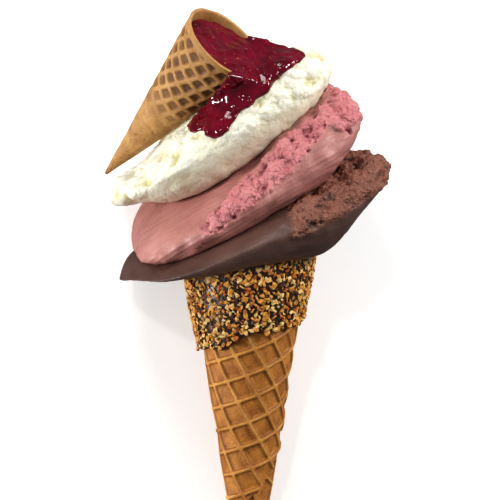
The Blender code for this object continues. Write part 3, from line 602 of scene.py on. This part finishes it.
# %% [markdown]
# ## Gelato, smooth and torn
#
# Gelato that a flat spatula lays down has two surfaces. Where the metal slid over it, it is smooth
# with faint streaks. Where it was pulled off, it is torn into crags and crumbs. The solids hold the
# slabs' outlines and the torn zones as large facets. Each fine slab is a copy of its solid, merged,
# remeshed into small even faces, smoothed, and then given crumbs in the torn zone alone.
# %% [markdown]
# ## Gelato, smooth and torn
#
# Gelato that a flat spatula lays down has two surfaces. Where the metal slid over it, it is smooth
# with faint streaks. Where it was pulled off, it is torn into crags and crumbs. To say where a slab
# is torn, each one has a frame of its own: along it, up through it and out of its front.


# %% The slabs' own frames
class Slab:
    """Where a slab lies: X along it, Y up through it and Z out of its front, in mm."""

    def __init__(self, middle, turn, lean, half_length, seed):
        self.lean = math.radians(lean)
        self.half_length = half_length
        self.seed = Vector((seed, seed * 2, seed * 3)) * 10
        place = Matrix.Translation(Vector(middle) * MM) @ Matrix.Rotation(math.radians(turn), 4, "Z")
        self.inside = (place @ Matrix.Rotation(self.lean, 4, "X")).inverted()

    def seen(self, point):
        """(along, up, local) in mm: along and up as the front shows them, mirrored to the back."""
        local = self.inside @ point / MM
        up = local.y * math.cos(self.lean) - abs(local.z) * math.sin(self.lean)
        return local.x, up, local


CHOCOLATE = Slab((2, 16, 0), 22, 20, 68.5, 3.1)
STRAWBERRY = Slab((-2.5, 36.5, -5), 29, 24, 61, 8.4)
VANILLA = Slab((-12, 57.5, -6), 30.5, 12, 59, 5.7)

print("half lengths, mm:", CHOCOLATE.half_length, STRAWBERRY.half_length, VANILLA.half_length)

# %% [markdown]
# ## From a solid to a fine slab
#
# The solids hold the slabs' outlines as large facets. Each fine slab is a copy of its solid,
# merged, remeshed into small even faces and smoothed. The vanilla's socket is filled by a plug, so
# that no gap shows beside the small cone.


# %% Remeshing, and a plug for the small cone
def remeshed(bm, voxel):
    """The same closed form in small even faces."""
    mesh = bpy.data.meshes.new("rough")
    bm.to_mesh(mesh)
    bm.free()
    rough = bpy.data.objects.new("rough", mesh)
    scene.collection.objects.link(rough)
    remesh = rough.modifiers.new("voxels", "REMESH")
    remesh.mode = "VOXEL"
    remesh.voxel_size = voxel
    graph = bpy.context.evaluated_depsgraph_get()
    fine = bmesh.new()
    fine.from_object(rough, graph)
    bpy.data.objects.remove(rough)
    bpy.data.meshes.remove(mesh)
    return fine


def smoothed(bm, rounds):
    for _ in range(rounds):
        bmesh.ops.smooth_vert(
            bm, verts=bm.verts, factor=0.5, use_axis_x=True, use_axis_y=True, use_axis_z=True
        )
    return bm


def joined(*meshes):
    """Several bmeshes as one; the parts are used up."""
    whole = bmesh.new()
    for part in meshes:
        mesh = bpy.data.meshes.new("part")
        part.to_mesh(mesh)
        part.free()
        whole.from_mesh(mesh)
        bpy.data.meshes.remove(mesh)
    return whole


def cone_plug(roll, inset, level, slope, low_share):
    """A length of the small cone as a solid, this far inside its side: from low_share of its radius
    up to a top that lies this far under the rim and slopes across the mouth."""
    low_y = -roll.apex * (1 - low_share)
    reach = inset / math.cos(roll.lean)
    bm = bmesh.new()
    upright = Matrix.Translation((0, low_y / 2, 0)) @ Matrix.Rotation(-math.pi / 2, 4, "X")
    low_radius = roll.mouth_radius * low_share - reach
    bmesh.ops.create_cone(
        bm, cap_ends=True, segments=96, radius1=low_radius, radius2=roll.mouth_radius, depth=-low_y,
        matrix=upright,
    )
    for vert in bm.verts:
        if vert.co.y > low_y / 2:
            theta = math.atan2(vert.co.x, vert.co.z)
            vert.co.y = slope * vert.co.x - level
            radius = roll.mouth_radius * (1 + vert.co.y / roll.apex) - reach
            vert.co.x, vert.co.z = radius * math.sin(theta), radius * math.cos(theta)
    bm.transform(SMALL_PLACE)
    return bm


def from_small_cone(point):
    """How far an upright point lies outside the small cone's side, in mm; negative inside it."""
    in_cone = SMALL_STANDING @ point
    side = SMALL.mouth_radius * (1 + in_cone.y / SMALL.apex)
    return (math.hypot(in_cone.x, in_cone.z) - side) * math.cos(SMALL.lean) / MM


def fine_slab(node, voxel, rounds, keep_above=None, plug=None):
    """A fine copy of a slab in the upright frame, without what hides inside the cone and with a plug
    in its socket. It is first grown by half a voxel, so that its thin edges keep their thickness
    when it is smoothed."""
    bm = bmesh.new()
    bm.from_mesh(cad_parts[node].data)
    bmesh.ops.remove_doubles(bm, verts=bm.verts, dist=0.002 * MM)
    bm.transform(STANDING)
    if keep_above is not None:
        everything = bm.verts[:] + bm.edges[:] + bm.faces[:]
        cut = bmesh.ops.bisect_plane(
            bm, geom=everything, plane_co=(0, keep_above, 0), plane_no=(0, 1, 0), clear_inner=True
        )
        rim = [item for item in cut["geom_cut"] if isinstance(item, bmesh.types.BMEdge)]
        bmesh.ops.contextual_create(bm, geom=rim)
    bm.normal_update()
    for vert in bm.verts:
        vert.co += vert.normal * voxel / 2
    if plug is not None:
        bm = joined(bm, plug)
    return smoothed(remeshed(bm, voxel), rounds)


print("the small cone's mouth is", round(SMALL.mouth_radius / MM, 1), "mm in radius")

# %% [markdown]
# ## Crumbs
#
# Broken gelato is made of rounded crumbs with sharp creases between them. That is what the distance
# to the nearest of many scattered points looks like when it is turned upside down.


# %% Relief of torn gelato
def crumbs(place, size):
    """Domes of one size: 0.4 on their tops, and below zero in the sharp creases between them."""
    warp = noise.noise_vector(place / size) * 0.35
    nearest = noise.voronoi(place / size + warp)[0][0]
    return 0.4 - 1.3 * nearest * nearest


def roughen(bm, slab, relief):
    """Moves every point out by relief, and stores how torn and how high it is on the point."""
    torn_layer = bm.verts.layers.float.new("torn")
    crag_layer = bm.verts.layers.float.new("crag")
    bm.normal_update()
    moves = []
    for vert in bm.verts:
        along, up, local = slab.seen(vert.co)
        torn, crag, height = relief(along, up, local, vert.co / MM + slab.seed)
        vert[torn_layer] = torn
        # The stored crag height later says where the gelato materials paint shade into the creases.
        vert[crag_layer] = 0.5 + 0.5 * crag
        moves.append(vert.normal * height * MM)
    for vert, move in zip(bm.verts, moves):
        vert.co += move
    return bm


print("crumbs at the origin:", round(crumbs(Vector(), 1.0), 2))

# %% [markdown]
# ## Chocolate
#
# Chocolate is the driest and breaks into crumbs at its right end, above the slab's crisp rim. The
# relief returns how torn the place is, how high its crag stands from about -1 to 1, and how far the
# surface moves, in mm. Only the chocolate reaches into the large cone, where it is cut off.


# %% The chocolate slab
def chocolate_relief(along, up, local, place):
    wander = 2.5 * noise.noise(place / 5) + 1.2 * noise.noise(place / 1.8)
    torn = smooth_step(14, 18, along + wander) * smooth_step(-2.5, 0, local.y + 0.5 * wander)
    crag = 1.1 * noise.noise(place / 6) + 0.9 * crumbs(place, 3.4)
    fine = crumbs(place, 1.7)
    streak = 0.15 * noise.noise(Vector((along / 18, up / 1.3, local.z / 9)))
    swell = 0.25 * noise.noise(place / 11)
    height = torn * (1.4 * crag + 0.9 * fine - 0.2) + (1 - torn) * streak + swell
    return torn, crag + 0.7 * fine - 0.3, height


CHOCOLATE_VOXEL = 0.66 * MM
CHOCOLATE_BOTTOM = -12 * MM
chocolate_bm = fine_slab("chocolate_gelato", CHOCOLATE_VOXEL, 14, CHOCOLATE_BOTTOM)
roughen(chocolate_bm, CHOCOLATE, chocolate_relief)
chocolate = finished("chocolate_slab", chocolate_bm, "chocolate_gelato")

# %% [markdown]
# ## Strawberry
#
# Strawberry is torn in one band that climbs from its lower left corner to the upper right, with
# streaks of the spatula above it and a smooth face below.

# %% The strawberry slab
SOFT_VOXEL = 0.6 * MM
SOFT_ROUNDS = 30


def strawberry_relief(along, up, local, place):
    wander = 2.2 * noise.noise(place / 5) + 1.2 * noise.noise(place / 1.8)
    low = -14.2 + 0.2 * along + 0.0022 * along ** 2 - 9 * smooth_step(44, 52, along)
    high = -2.2 + 0.3 * along - 0.0008 * along ** 2
    torn = smooth_step(low - 0.6, low + 0.9, up + wander) * smooth_step(-31, -24, along + 2 * wander)
    torn *= 1 - smooth_step(high - 1, high + 0.5, up + wander)
    crag = 1.5 * noise.noise(place / 5.5) + 1.1 * crumbs(place, 3.2)
    fine = crumbs(place, 1.5)
    streak = 0.28 * noise.noise(Vector((along / 22, up / 1.1, local.z / 7)))
    swell = 0.35 * noise.noise(place / 8)
    height = torn * (1.6 * crag + 0.9 * fine + 0.5) + (1 - torn) * streak + swell
    return torn, crag + 0.5 * fine - 0.12, height


strawberry_bm = fine_slab("strawberry_gelato", SOFT_VOXEL, SOFT_ROUNDS)
roughen(strawberry_bm, STRAWBERRY, strawberry_relief)
strawberry = finished("strawberry_slab", strawberry_bm, "strawberry_gelato")

# %% [markdown]
# ## Vanilla
#
# Vanilla is soft, almost whipped, with shallow lumps all over. What lies just inside or against the
# small cone is tucked into its wall, so that no vanilla shows through the wafer.

# %% The vanilla slab
TUCK = 1.8  # how far inside the small cone's side the tucked points go, in mm
TUCK_REACH = 0.6  # how far outside it they come from, in mm


def vanilla_relief(along, up, local, place):
    clear = smooth_step(0.2, 2.5, from_small_cone((place - VANILLA.seed) * MM))
    lumpy = clear * (0.3 + 0.7 * smooth_step(-11, -5, up))
    crag = 1.4 * noise.noise(place / 6.5) + 0.9 * crumbs(place, 4.2)
    fine = crumbs(place, 1.7)
    tail = 2.2 * clear * (1 - smooth_step(-56, -44, along))
    return lumpy, crag + 0.3 * fine - 0.25, lumpy * (1.1 * crag + 0.4 * fine) + tail


socket_plug = cone_plug(SMALL, -0.2 * MM, 12 * MM, 0, 0.2)
vanilla_bm = fine_slab("vanilla_gelato", SOFT_VOXEL, SOFT_ROUNDS, plug=socket_plug)
for vert in vanilla_bm.verts:
    outside = from_small_cone(vert.co)
    if -TUCK < outside < TUCK_REACH:
        in_cone = SMALL_STANDING @ vert.co
        radius = math.hypot(in_cone.x, in_cone.z)
        inside_wall = 1 - (outside + TUCK) * MM / max(radius, 3 * MM)
        in_cone.x *= inside_wall
        in_cone.z *= inside_wall
        vert.co = SMALL_PLACE @ in_cone
roughen(vanilla_bm, VANILLA, vanilla_relief)
vanilla = finished("vanilla_slab", vanilla_bm, "vanilla_gelato")

# %% [markdown]
# ## Gelato colours
#
# Each flavour has one pair of mottled colours where it is smooth and another where it is torn, and
# the creases between its crumbs get a painted shade. The torn places also get a stronger fine grain.


# %% Gelato materials
def gelato_finish(
    name, smooth_light, smooth_dark, torn_light, torn_dark, crease, roughness, subsurface, torn_grain
):
    finish, tree, shader = new_finish(name, roughness, subsurface, (1.0, 0.6, 0.4), 0.0025)
    smooth = use_group(
        tree, MOTTLE, Light=smooth_light, Dark=smooth_dark, Patch_Size=0.016, Grain_Size=0.0009
    )
    rough = use_group(tree, MOTTLE, Light=torn_light, Dark=torn_dark, Patch_Size=0.008, Grain_Size=0.0007)
    torn = vertex_value(tree, "torn")
    body = blended(tree, torn, smooth.outputs["Color"], rough.outputs["Color"])
    crag = vertex_value(tree, "crag")
    # Painted shade: where a torn crag stands low, the colour turns towards the crease colour, the shade that
    # falls in the creases between crumbs.
    low = add(tree, "ShaderNodeMapRange", (("Value", crag), ("From Min", 0.3), ("From Max", -0.15)))
    colour = blended(tree, maths(tree, "MULTIPLY", low.outputs[0], torn), body, crease)
    grain = colour_and_grain(tree, shader, colour, Size=0.0010, Pits=0.5)
    tree.links.new(maths(tree, "MULTIPLY_ADD", torn, torn_grain, 0.00012), grain.inputs["Depth"])
    return finish


# The fifth colour of each flavour is the painted shade of its creases.
chocolate.data.materials.append(
    gelato_finish(
        "chocolate gelato", (0.125, 0.064, 0.050, 1), (0.066, 0.030, 0.022, 1), (0.29, 0.112, 0.068, 1),
        (0.15, 0.050, 0.031, 1), (0.02, 0.006, 0.004, 1), 0.46, 0.03, 0.0009,
    )
)
strawberry.data.materials.append(
    gelato_finish(
        "strawberry gelato", (0.48, 0.225, 0.195, 1), (0.33, 0.125, 0.11, 1), (0.66, 0.27, 0.27, 1),
        (0.46, 0.13, 0.14, 1), (0.20, 0.035, 0.042, 1), 0.5, 0.1, 0.0009,
    )
)
vanilla.data.materials.append(
    gelato_finish(
        "vanilla gelato", (0.76, 0.725, 0.58, 1), (0.62, 0.57, 0.39, 1), (0.84, 0.83, 0.74, 1),
        (0.70, 0.67, 0.49, 1), (0.56, 0.50, 0.24, 1), 0.38, 0.12, 0.0002,
    )
)
print("gelato finished")

# %% [markdown]
# ## The dipped mouth
#
# The confectioner dips the mouth in dark chocolate and rolls it in chopped nuts. The chocolate is a
# thin sleeve with a wavy lower edge.

# %% The chocolate sleeve
GAP = 0.35 * MM
COAT_THICKNESS = 2.3 * MM
COAT_EDGE = -37.5 * MM
COAT_SLANT = math.tan(math.radians(16.5))
COAT_TOP = -1.0 * MM
COAT_ROUNDING = 0.3 * MM  # by how much the chocolate is thinner than the coat with its nuts


def coat_point(theta, share, height):
    """A point of the sleeve: share from its lower border to its top, height above the wafer."""
    wave = 1.3 * MM * (math.sin(theta * 4 + 1) + 0.6 * math.sin(theta * 7 + 2))
    rim_rise = math.cos(LARGE.lean) * LARGE.rim_shift(theta * math.sin(LARGE.lean))
    top = COAT_TOP + rim_rise
    at_edge = LARGE.mouth_radius * (1 + COAT_EDGE / LARGE.apex)
    bottom = COAT_EDGE + at_edge * math.sin(theta) * COAT_SLANT + wave
    y = bottom + (top - bottom) * share
    radius = LARGE.mouth_radius * (1 + y / LARGE.apex) + height / math.cos(LARGE.lean)
    return Vector((radius * math.sin(theta), y, radius * math.cos(theta)))


def coat_thickness(share):
    return COAT_THICKNESS * (0.55 + 0.45 * smooth_step(0, 0.5, share))


sleeve_bm = bmesh.new()
bmesh.ops.create_grid(sleeve_bm, x_segments=240, y_segments=60, size=0.5)
bmesh.ops.bridge_loops(sleeve_bm, edges=side_edges(sleeve_bm))
for vert in sleeve_bm.verts:
    theta, share = vert.co.x * math.tau, vert.co.y + 0.5
    rounded = math.sqrt(max(0.0, 1 - (1 - min(1.0, min(share, 1 - share) / 0.05)) ** 2))
    place = coat_point(theta, share, 0) / MM
    lumps = 0.35 * MM * noise.noise(place / 4) * rounded
    thickness = (coat_thickness(share) - COAT_ROUNDING) * rounded + lumps
    vert.co = coat_point(theta, share, GAP + thickness)
bmesh.ops.remove_doubles(sleeve_bm, verts=sleeve_bm.verts, dist=0.004 * MM)
bmesh.ops.bridge_loops(sleeve_bm, edges=[e for e in sleeve_bm.edges if e.is_boundary])
sleeve = finished("chocolate_sleeve", sleeve_bm, "nut_coat")

sleeve_finish, sleeve_tree, sleeve_shader = new_finish("dark chocolate", 0.32)
sleeve_colour = use_group(
    sleeve_tree, MOTTLE, Light=(0.060, 0.026, 0.012, 1), Dark=(0.018, 0.008, 0.004, 1)
)
colour_and_grain(sleeve_tree, sleeve_shader, sleeve_colour.outputs["Color"], Size=0.0015, Depth=0.0002)
sleeve.data.materials.append(sleeve_finish)

# %% [markdown]
# ## The shape of a chopped nut
#
# Each chip is the convex hull of a few random points, which gives flat facets and sharp corners.
# There are four kinds, from blanched cream to dark skin.

# %% The chopped nuts
NUT_KINDS = (
    # name, how often, smallest and largest half length in mm, light and dark colour
    ("nuts_cream", 4, 1.0, 2.0, (0.80, 0.58, 0.24, 1), (0.62, 0.38, 0.11, 1)),
    ("nuts_golden", 6, 1.0, 2.1, (0.74, 0.38, 0.065, 1), (0.46, 0.18, 0.025, 1)),
    ("nuts_skin", 3, 0.9, 1.8, (0.56, 0.16, 0.02, 1), (0.30, 0.075, 0.012, 1)),
    ("nuts_dark", 2, 0.8, 1.5, (0.09, 0.038, 0.014, 1), (0.03, 0.012, 0.006, 1)),
)


def add_nut(bm, rng, place, out, size):
    """One chip: the hull of a few points on a squashed ball, turned at random and half sunk."""
    squash = Vector((1, rng.uniform(0.6, 0.9), rng.uniform(0.45, 0.75))) * size
    points = []
    for _ in range(9):
        spot = Vector((rng.gauss(0, 1), rng.gauss(0, 1), rng.gauss(0, 1))).normalized()
        points.append(bm.verts.new(Vector((spot.x * squash.x, spot.y * squash.y, spot.z * squash.z))))
    made = bmesh.ops.convex_hull(bm, input=points)
    inner = [v for v in made["geom_interior"] if isinstance(v, bmesh.types.BMVert)]
    kept = [v for v in points if v not in inner]
    bmesh.ops.delete(bm, geom=inner, context="VERTS")
    turn = out.to_track_quat("Z", "Y").to_matrix().to_4x4()
    turn = turn @ Matrix.Rotation(rng.uniform(0, math.tau), 4, "Z")
    turn = turn @ Matrix.Rotation(rng.gauss(0, 0.6), 4, "X")
    bmesh.ops.transform(bm, matrix=Matrix.Translation(place) @ turn, verts=kept)


print("kinds of nut:", [kind[0] for kind in NUT_KINDS])

# %% [markdown]
# ## Rolling the mouth in nuts
#
# The nuts are spread evenly by the golden angle, so the sleeve is covered without clumps or bald
# strips: first whole chips, then smaller ones that fill the places between them. A chip that would
# lie inside the chocolate slab or below the table is left out.

# %% Scattering the nuts
chocolate_tree = BVHTree.FromObject(chocolate, bpy.context.evaluated_depsgraph_get())


def hidden(place, margin):
    """Whether a place of the upright frame lies inside the chocolate slab or too close to it."""
    laid = LYING @ place
    nearest, normal, _, distance = chocolate_tree.find_nearest(laid)
    return (laid - nearest).dot(normal) < 0 or distance < margin


def nut_spots(rng, count):
    golden = math.pi * (3 - math.sqrt(5))
    for index in range(count):
        share = (index + rng.uniform(0, 1)) / count
        yield index * golden + rng.uniform(-0.06, 0.06), 0.015 + 0.97 * share


nut_rng = random.Random(7)
nut_meshes = {kind[0]: bmesh.new() for kind in NUT_KINDS}
nut_count = 0
for layer_count, size_factor, lift in ((1500, 1.0, 0.15), (900, 0.6, 0.0)):
    for theta, share in nut_spots(nut_rng, layer_count):
        name, _, small, large, _, _ = nut_rng.choices(NUT_KINDS, [kind[1] for kind in NUT_KINDS])[0]
        size = nut_rng.uniform(small, large) * size_factor * MM
        surface = GAP + coat_thickness(share) - COAT_ROUNDING
        place = coat_point(theta, share, surface + size * lift)
        if hidden(place, 0.3 * size) or (LYING @ place).z < size * 0.8:
            continue
        out = Vector((math.sin(theta), 0, math.cos(theta)))
        add_nut(nut_meshes[name], nut_rng, place, out, size)
        nut_count += 1
for name, _, _, _, light, dark in NUT_KINDS:
    nuts = finished(name, nut_meshes[name], "nut_coat", smooth=False)
    nut_finish, nut_tree, nut_shader = new_finish(name.replace("_", " "), 0.5, 0.1, (1, 0.5, 0.2), 0.001)
    nut_colour = use_group(nut_tree, MOTTLE, Light=light, Dark=dark, Patch_Size=0.0022, Grain_Size=0.0005)
    colour_and_grain(nut_tree, nut_shader, nut_colour.outputs["Color"], Size=0.0007, Depth=0.00012)
    nuts.data.materials.append(nut_finish)
print("pieces of nut:", nut_count)

# %% [markdown]
# ## The berry sauce
#
# The sauce fills the small cone, wells over its rim and runs down the vanilla. Seen from the front
# it is a pool with a wandering outline. A flat grid is cut to that outline and dropped onto the
# vanilla and the brimful cone with rays. Then its top settles as a thick liquid's does: flat over
# hollows, rounded at its edge. The filling of the small cone is joined to it, and one remesh makes
# both a single skin.

# %% The pool's outline
SAUCE_OUTLINE = [
    Vector(point) * MM
    for point in (
        (0.5, 101.0), (10.0, 98.0), (19.0, 95.5), (25.0, 92.5), (25.2, 88.5), (20.0, 84.5),
        (14.9, 81.0), (11.3, 77.0), (8.5, 73.0), (4.3, 69.5), (0.5, 66.5), (-2.8, 64.3),
        (-7.2, 58.0), (-10.7, 53.7), (-15.1, 51.8), (-18.8, 52.9), (-21.0, 56.0), (-24.0, 54.6),
        (-27.6, 56.4), (-27.4, 60.8), (-21.5, 67.0), (-15.5, 73.0), (-10.5, 79.0), (-9.0, 86.0),
        (-9.5, 93.0), (-6.0, 98.5),
    )
]
SAUCE_CELL = 0.8 * MM
SAUCE_THICKNESS = 3.2 * MM
SAUCE_EDGE = 3.2 * MM  # how far in from its outline it reaches that thickness
SAUCE_LEVEL = 2.0 * MM  # in the middle of the small mouth, under the rim
SAUCE_SLOPE = 0.13  # by which it rises across the mouth, to where it pours over the rim
SAUCE_OVER_RIM = 1.6 * MM  # how far out from the rim it starts to fall
SETTLING_ROUNDS = 60


def closed_curve(points, steps):
    """A smooth closed curve through the points."""
    curve = []
    count = len(points)
    for index in range(count):
        before, start = points[index - 1], points[index]
        end, after = points[(index + 1) % count], points[(index + 2) % count]
        for step in range(steps):
            t = step / steps
            square = (2 * before - 5 * start + 4 * end - after) * t * t
            cube = (3 * start - before - 3 * end + after) * t ** 3
            curve.append(0.5 * (2 * start + (end - before) * t + square + cube))
    return curve


def inside_distance(point, outline):
    """How far a flat point lies inside the outline (negative outside), and the outline's nearest point."""
    nearest, least, inside = None, math.inf, False
    for start, end in zip(outline, outline[1:] + outline[:1]):
        side = end - start
        share = min(1.0, max(0.0, (point - start).dot(side) / side.length_squared))
        foot = start + side * share
        if (foot - point).length < least:
            nearest, least = foot, (foot - point).length
        if (start.y > point.y) != (end.y > point.y):
            if point.x < start.x + side.x * (point.y - start.y) / side.y:
                inside = not inside
    return (least if inside else -least), nearest


outline = closed_curve(SAUCE_OUTLINE, 4)
print("points of the outline:", len(outline))

# %% [markdown]
# ## What carries the sauce
#
# Rays that go straight down find the vanilla or the brimful cone under each point of the grid.
# Where they find nothing, the sauce hangs freely between its neighbours.


# %% The pool, dropped onto the vanilla
def copy_upright(piece):
    bm = bmesh.new()
    bm.from_mesh(piece.data)
    bm.transform(STANDING)
    return bm


carrier = joined(copy_upright(vanilla), cone_plug(SMALL, -SAUCE_OVER_RIM, SAUCE_LEVEL, SAUCE_SLOPE, 0.4))
carrier_tree = BVHTree.FromBMesh(carrier)
carrier.free()

low = Vector((min(p.x for p in outline), min(p.y for p in outline)))
high = Vector((max(p.x for p in outline), max(p.y for p in outline)))
counts = [int((high - low)[axis] / SAUCE_CELL) + 2 for axis in (0, 1)]
pool = bmesh.new()
bmesh.ops.create_grid(pool, x_segments=counts[0], y_segments=counts[1], size=0.5)
for vert in pool.verts:
    vert.co.x = (low.x + high.x) / 2 + vert.co.x * counts[0] * SAUCE_CELL
    vert.co.y = (low.y + high.y) / 2 + vert.co.y * counts[1] * SAUCE_CELL
outside = []
for face in pool.faces:
    if inside_distance(face.calc_center_median().to_2d(), outline)[0] < -0.1 * SAUCE_CELL:
        outside.append(face)
bmesh.ops.delete(pool, geom=outside, context="FACES")
floors, least = {}, {}
for vert in pool.verts:
    depth, nearest = inside_distance(vert.co.to_2d(), outline)
    if vert.is_boundary:
        vert.co.x, vert.co.y = nearest
        depth = 0
    rise = 1 - min(1.0, max(0.0, depth) / SAUCE_EDGE)
    least[vert] = SAUCE_THICKNESS * math.sqrt(1 - rise * rise)
    hit = carrier_tree.ray_cast(vert.co + Vector((0, 0, 0.2)), Vector((0, 0, -1)))[0]
    floors[vert] = hit.z if hit and hit.z > -5 * MM else None
for vert in pool.verts:
    vert.co.z = (floors[vert] or 0) + least[vert]
print("pool faces:", len(pool.faces))

# %% [markdown]
# ## Settling
#
# A thick liquid lies flat over hollows and never thinner than a film. In each round every point
# moves half way to its neighbours' mean, but not below the film that covers what lies under it.

# %% The settled top
for _ in range(SETTLING_ROUNDS):
    heights = {}
    for vert in pool.verts:
        around = [edge.other_vert(vert).co.z for edge in vert.link_edges]
        settled = sum(around) / len(around)
        floor_z = floors[vert]
        if floor_z is None:
            heights[vert] = settled
        elif vert.is_boundary:
            heights[vert] = floor_z - 0.3 * MM
        else:
            heights[vert] = max(floor_z + 0.6 * least[vert], 0.5 * settled + 0.5 * vert.co.z)
    for vert, height in heights.items():
        vert.co.z = height
print("highest point, mm:", round(max(vert.co.z for vert in pool.verts) / MM, 1))

# %% [markdown]
# ## One skin
#
# The pool gets an underside that reaches into the vanilla. The filling of the small cone is joined
# to it, and one remesh makes both a single closed skin, which then ripples. It stays smooth where it
# meets the wafer's inside.

# %% One skin for the pool and the filling
SAUCE_SINKS = 1.2 * MM  # how far its underside reaches into what carries it
SAUCE_VOXEL = 0.5 * MM
under = {}
for vert in pool.verts:
    floor_z = floors[vert]
    if floor_z is None:
        under[vert] = vert.co.z - 5 * MM
    else:
        under[vert] = min(vert.co.z, floor_z) - SAUCE_SINKS
copies = bmesh.ops.duplicate(pool, geom=pool.verts[:] + pool.edges[:] + pool.faces[:])["vert_map"]
border = [edge for edge in pool.edges if edge.is_boundary]
for vert, height in under.items():
    copies[vert].co.z = height
bmesh.ops.bridge_loops(pool, edges=border)
bmesh.ops.recalc_face_normals(pool, faces=pool.faces)
filling = cone_plug(SMALL, SMALL.wall - 0.3 * MM, SAUCE_LEVEL, SAUCE_SLOPE, 0.4)
sauce_bm = smoothed(remeshed(joined(pool, filling), SAUCE_VOXEL), 9)
sauce_bm.normal_update()
ripples = []
for vert in sauce_bm.verts:
    place = vert.co / MM
    in_cone = SMALL_STANDING @ vert.co
    against_wall = 1 - smooth_step(-5 * MM, -3 * MM, in_cone.y - SAUCE_SLOPE * in_cone.x)
    pulp = smooth_step(0.15, 0.6, noise.noise(place / 3.4 + Vector((9, 2, 5))))
    lumps = 0.9 * noise.noise(place / 6) + 0.4 * pulp + 0.45 * noise.noise(place / 3.4)
    outside_cone = math.hypot(in_cone.x, in_cone.z) > SMALL.mouth_radius * (1 + in_cone.y / SMALL.apex)
    free = 1.0 if outside_cone else 1 - against_wall
    ripples.append(vert.normal * lumps * free * 0.9 * MM)
for vert, move in zip(sauce_bm.verts, ripples):
    vert.co += move
sauce = finished("berry_sauce_skin", sauce_bm, "berry_sauce")

# %% [markdown]
# ## The sauce's finish
#
# The sauce is deep red, so dark that nearly all its brightness comes from what it mirrors.

# %% Sauce material
sauce_finish, sauce_tree, sauce_shader = new_finish("berry sauce", 0.05, 0.1, (1.0, 0.06, 0.05), 0.002)
sauce_colour = use_group(
    sauce_tree, MOTTLE, Light=(0.2, 0.001, 0.02, 1), Dark=(0.05, 0.0003, 0.006, 1), Patch_Size=0.009,
    Grain_Size=0.0016, Grain_Share=0.4, Contrast=0.9,
)
sauce_red = sauce_colour.outputs["Color"]
colour_and_grain(sauce_tree, sauce_shader, sauce_red, Size=0.004, Depth=0.00012, Pits=0.2)
sauce_shader.inputs["Specular IOR Level"].default_value = 0.4
sauce.data.materials.append(sauce_finish)
print("material:", sauce_finish.name)

# %% [markdown]
# ## Fruit
#
# A berry sauce still holds shreds and seeds, which catch the light as small orange specks.

# %% Bits of fruit in the sauce
bit_rng = random.Random(5)
bits_bm = bmesh.new()
upward = [face for face in sauce.data.polygons if face.normal.z > 0.3]
for face in bit_rng.sample(upward, 90):
    half_length = bit_rng.uniform(0.45, 1.0) * MM
    turn = face.normal.to_track_quat("Z", "Y").to_matrix().to_4x4()
    turn = turn @ Matrix.Rotation(bit_rng.uniform(0, math.tau), 4, "Z")
    flat = Matrix.Diagonal((half_length, half_length * 0.5, half_length * 0.35, 1))
    place = Matrix.Translation(face.center) @ turn @ flat
    bmesh.ops.create_icosphere(bits_bm, subdivisions=1, radius=1, matrix=place)
bits = finished("berry_bits", bits_bm, "berry_sauce", Matrix.Identity(4))
bits_finish, bits_tree, bits_shader = new_finish("berry bits", 0.15)
bits_colour = use_group(
    bits_tree, MOTTLE, Light=(0.55, 0.10, 0.03, 1), Dark=(0.16, 0.01, 0.012, 1), Patch_Size=0.004
)
bits_tree.links.new(bits_colour.outputs["Color"], bits_shader.inputs["Base Color"])
bits.data.materials.append(bits_finish)

# %% [markdown]
# ## The solids' box
#
# The surface may not make the dessert larger than its solids, and every piece was pressed into their box as
# it was finished. That box is printed.

# %% Sizes and the last line
print("solids' box:", [[round(v / MM, 1) for v in corner] for corner in cad_box])
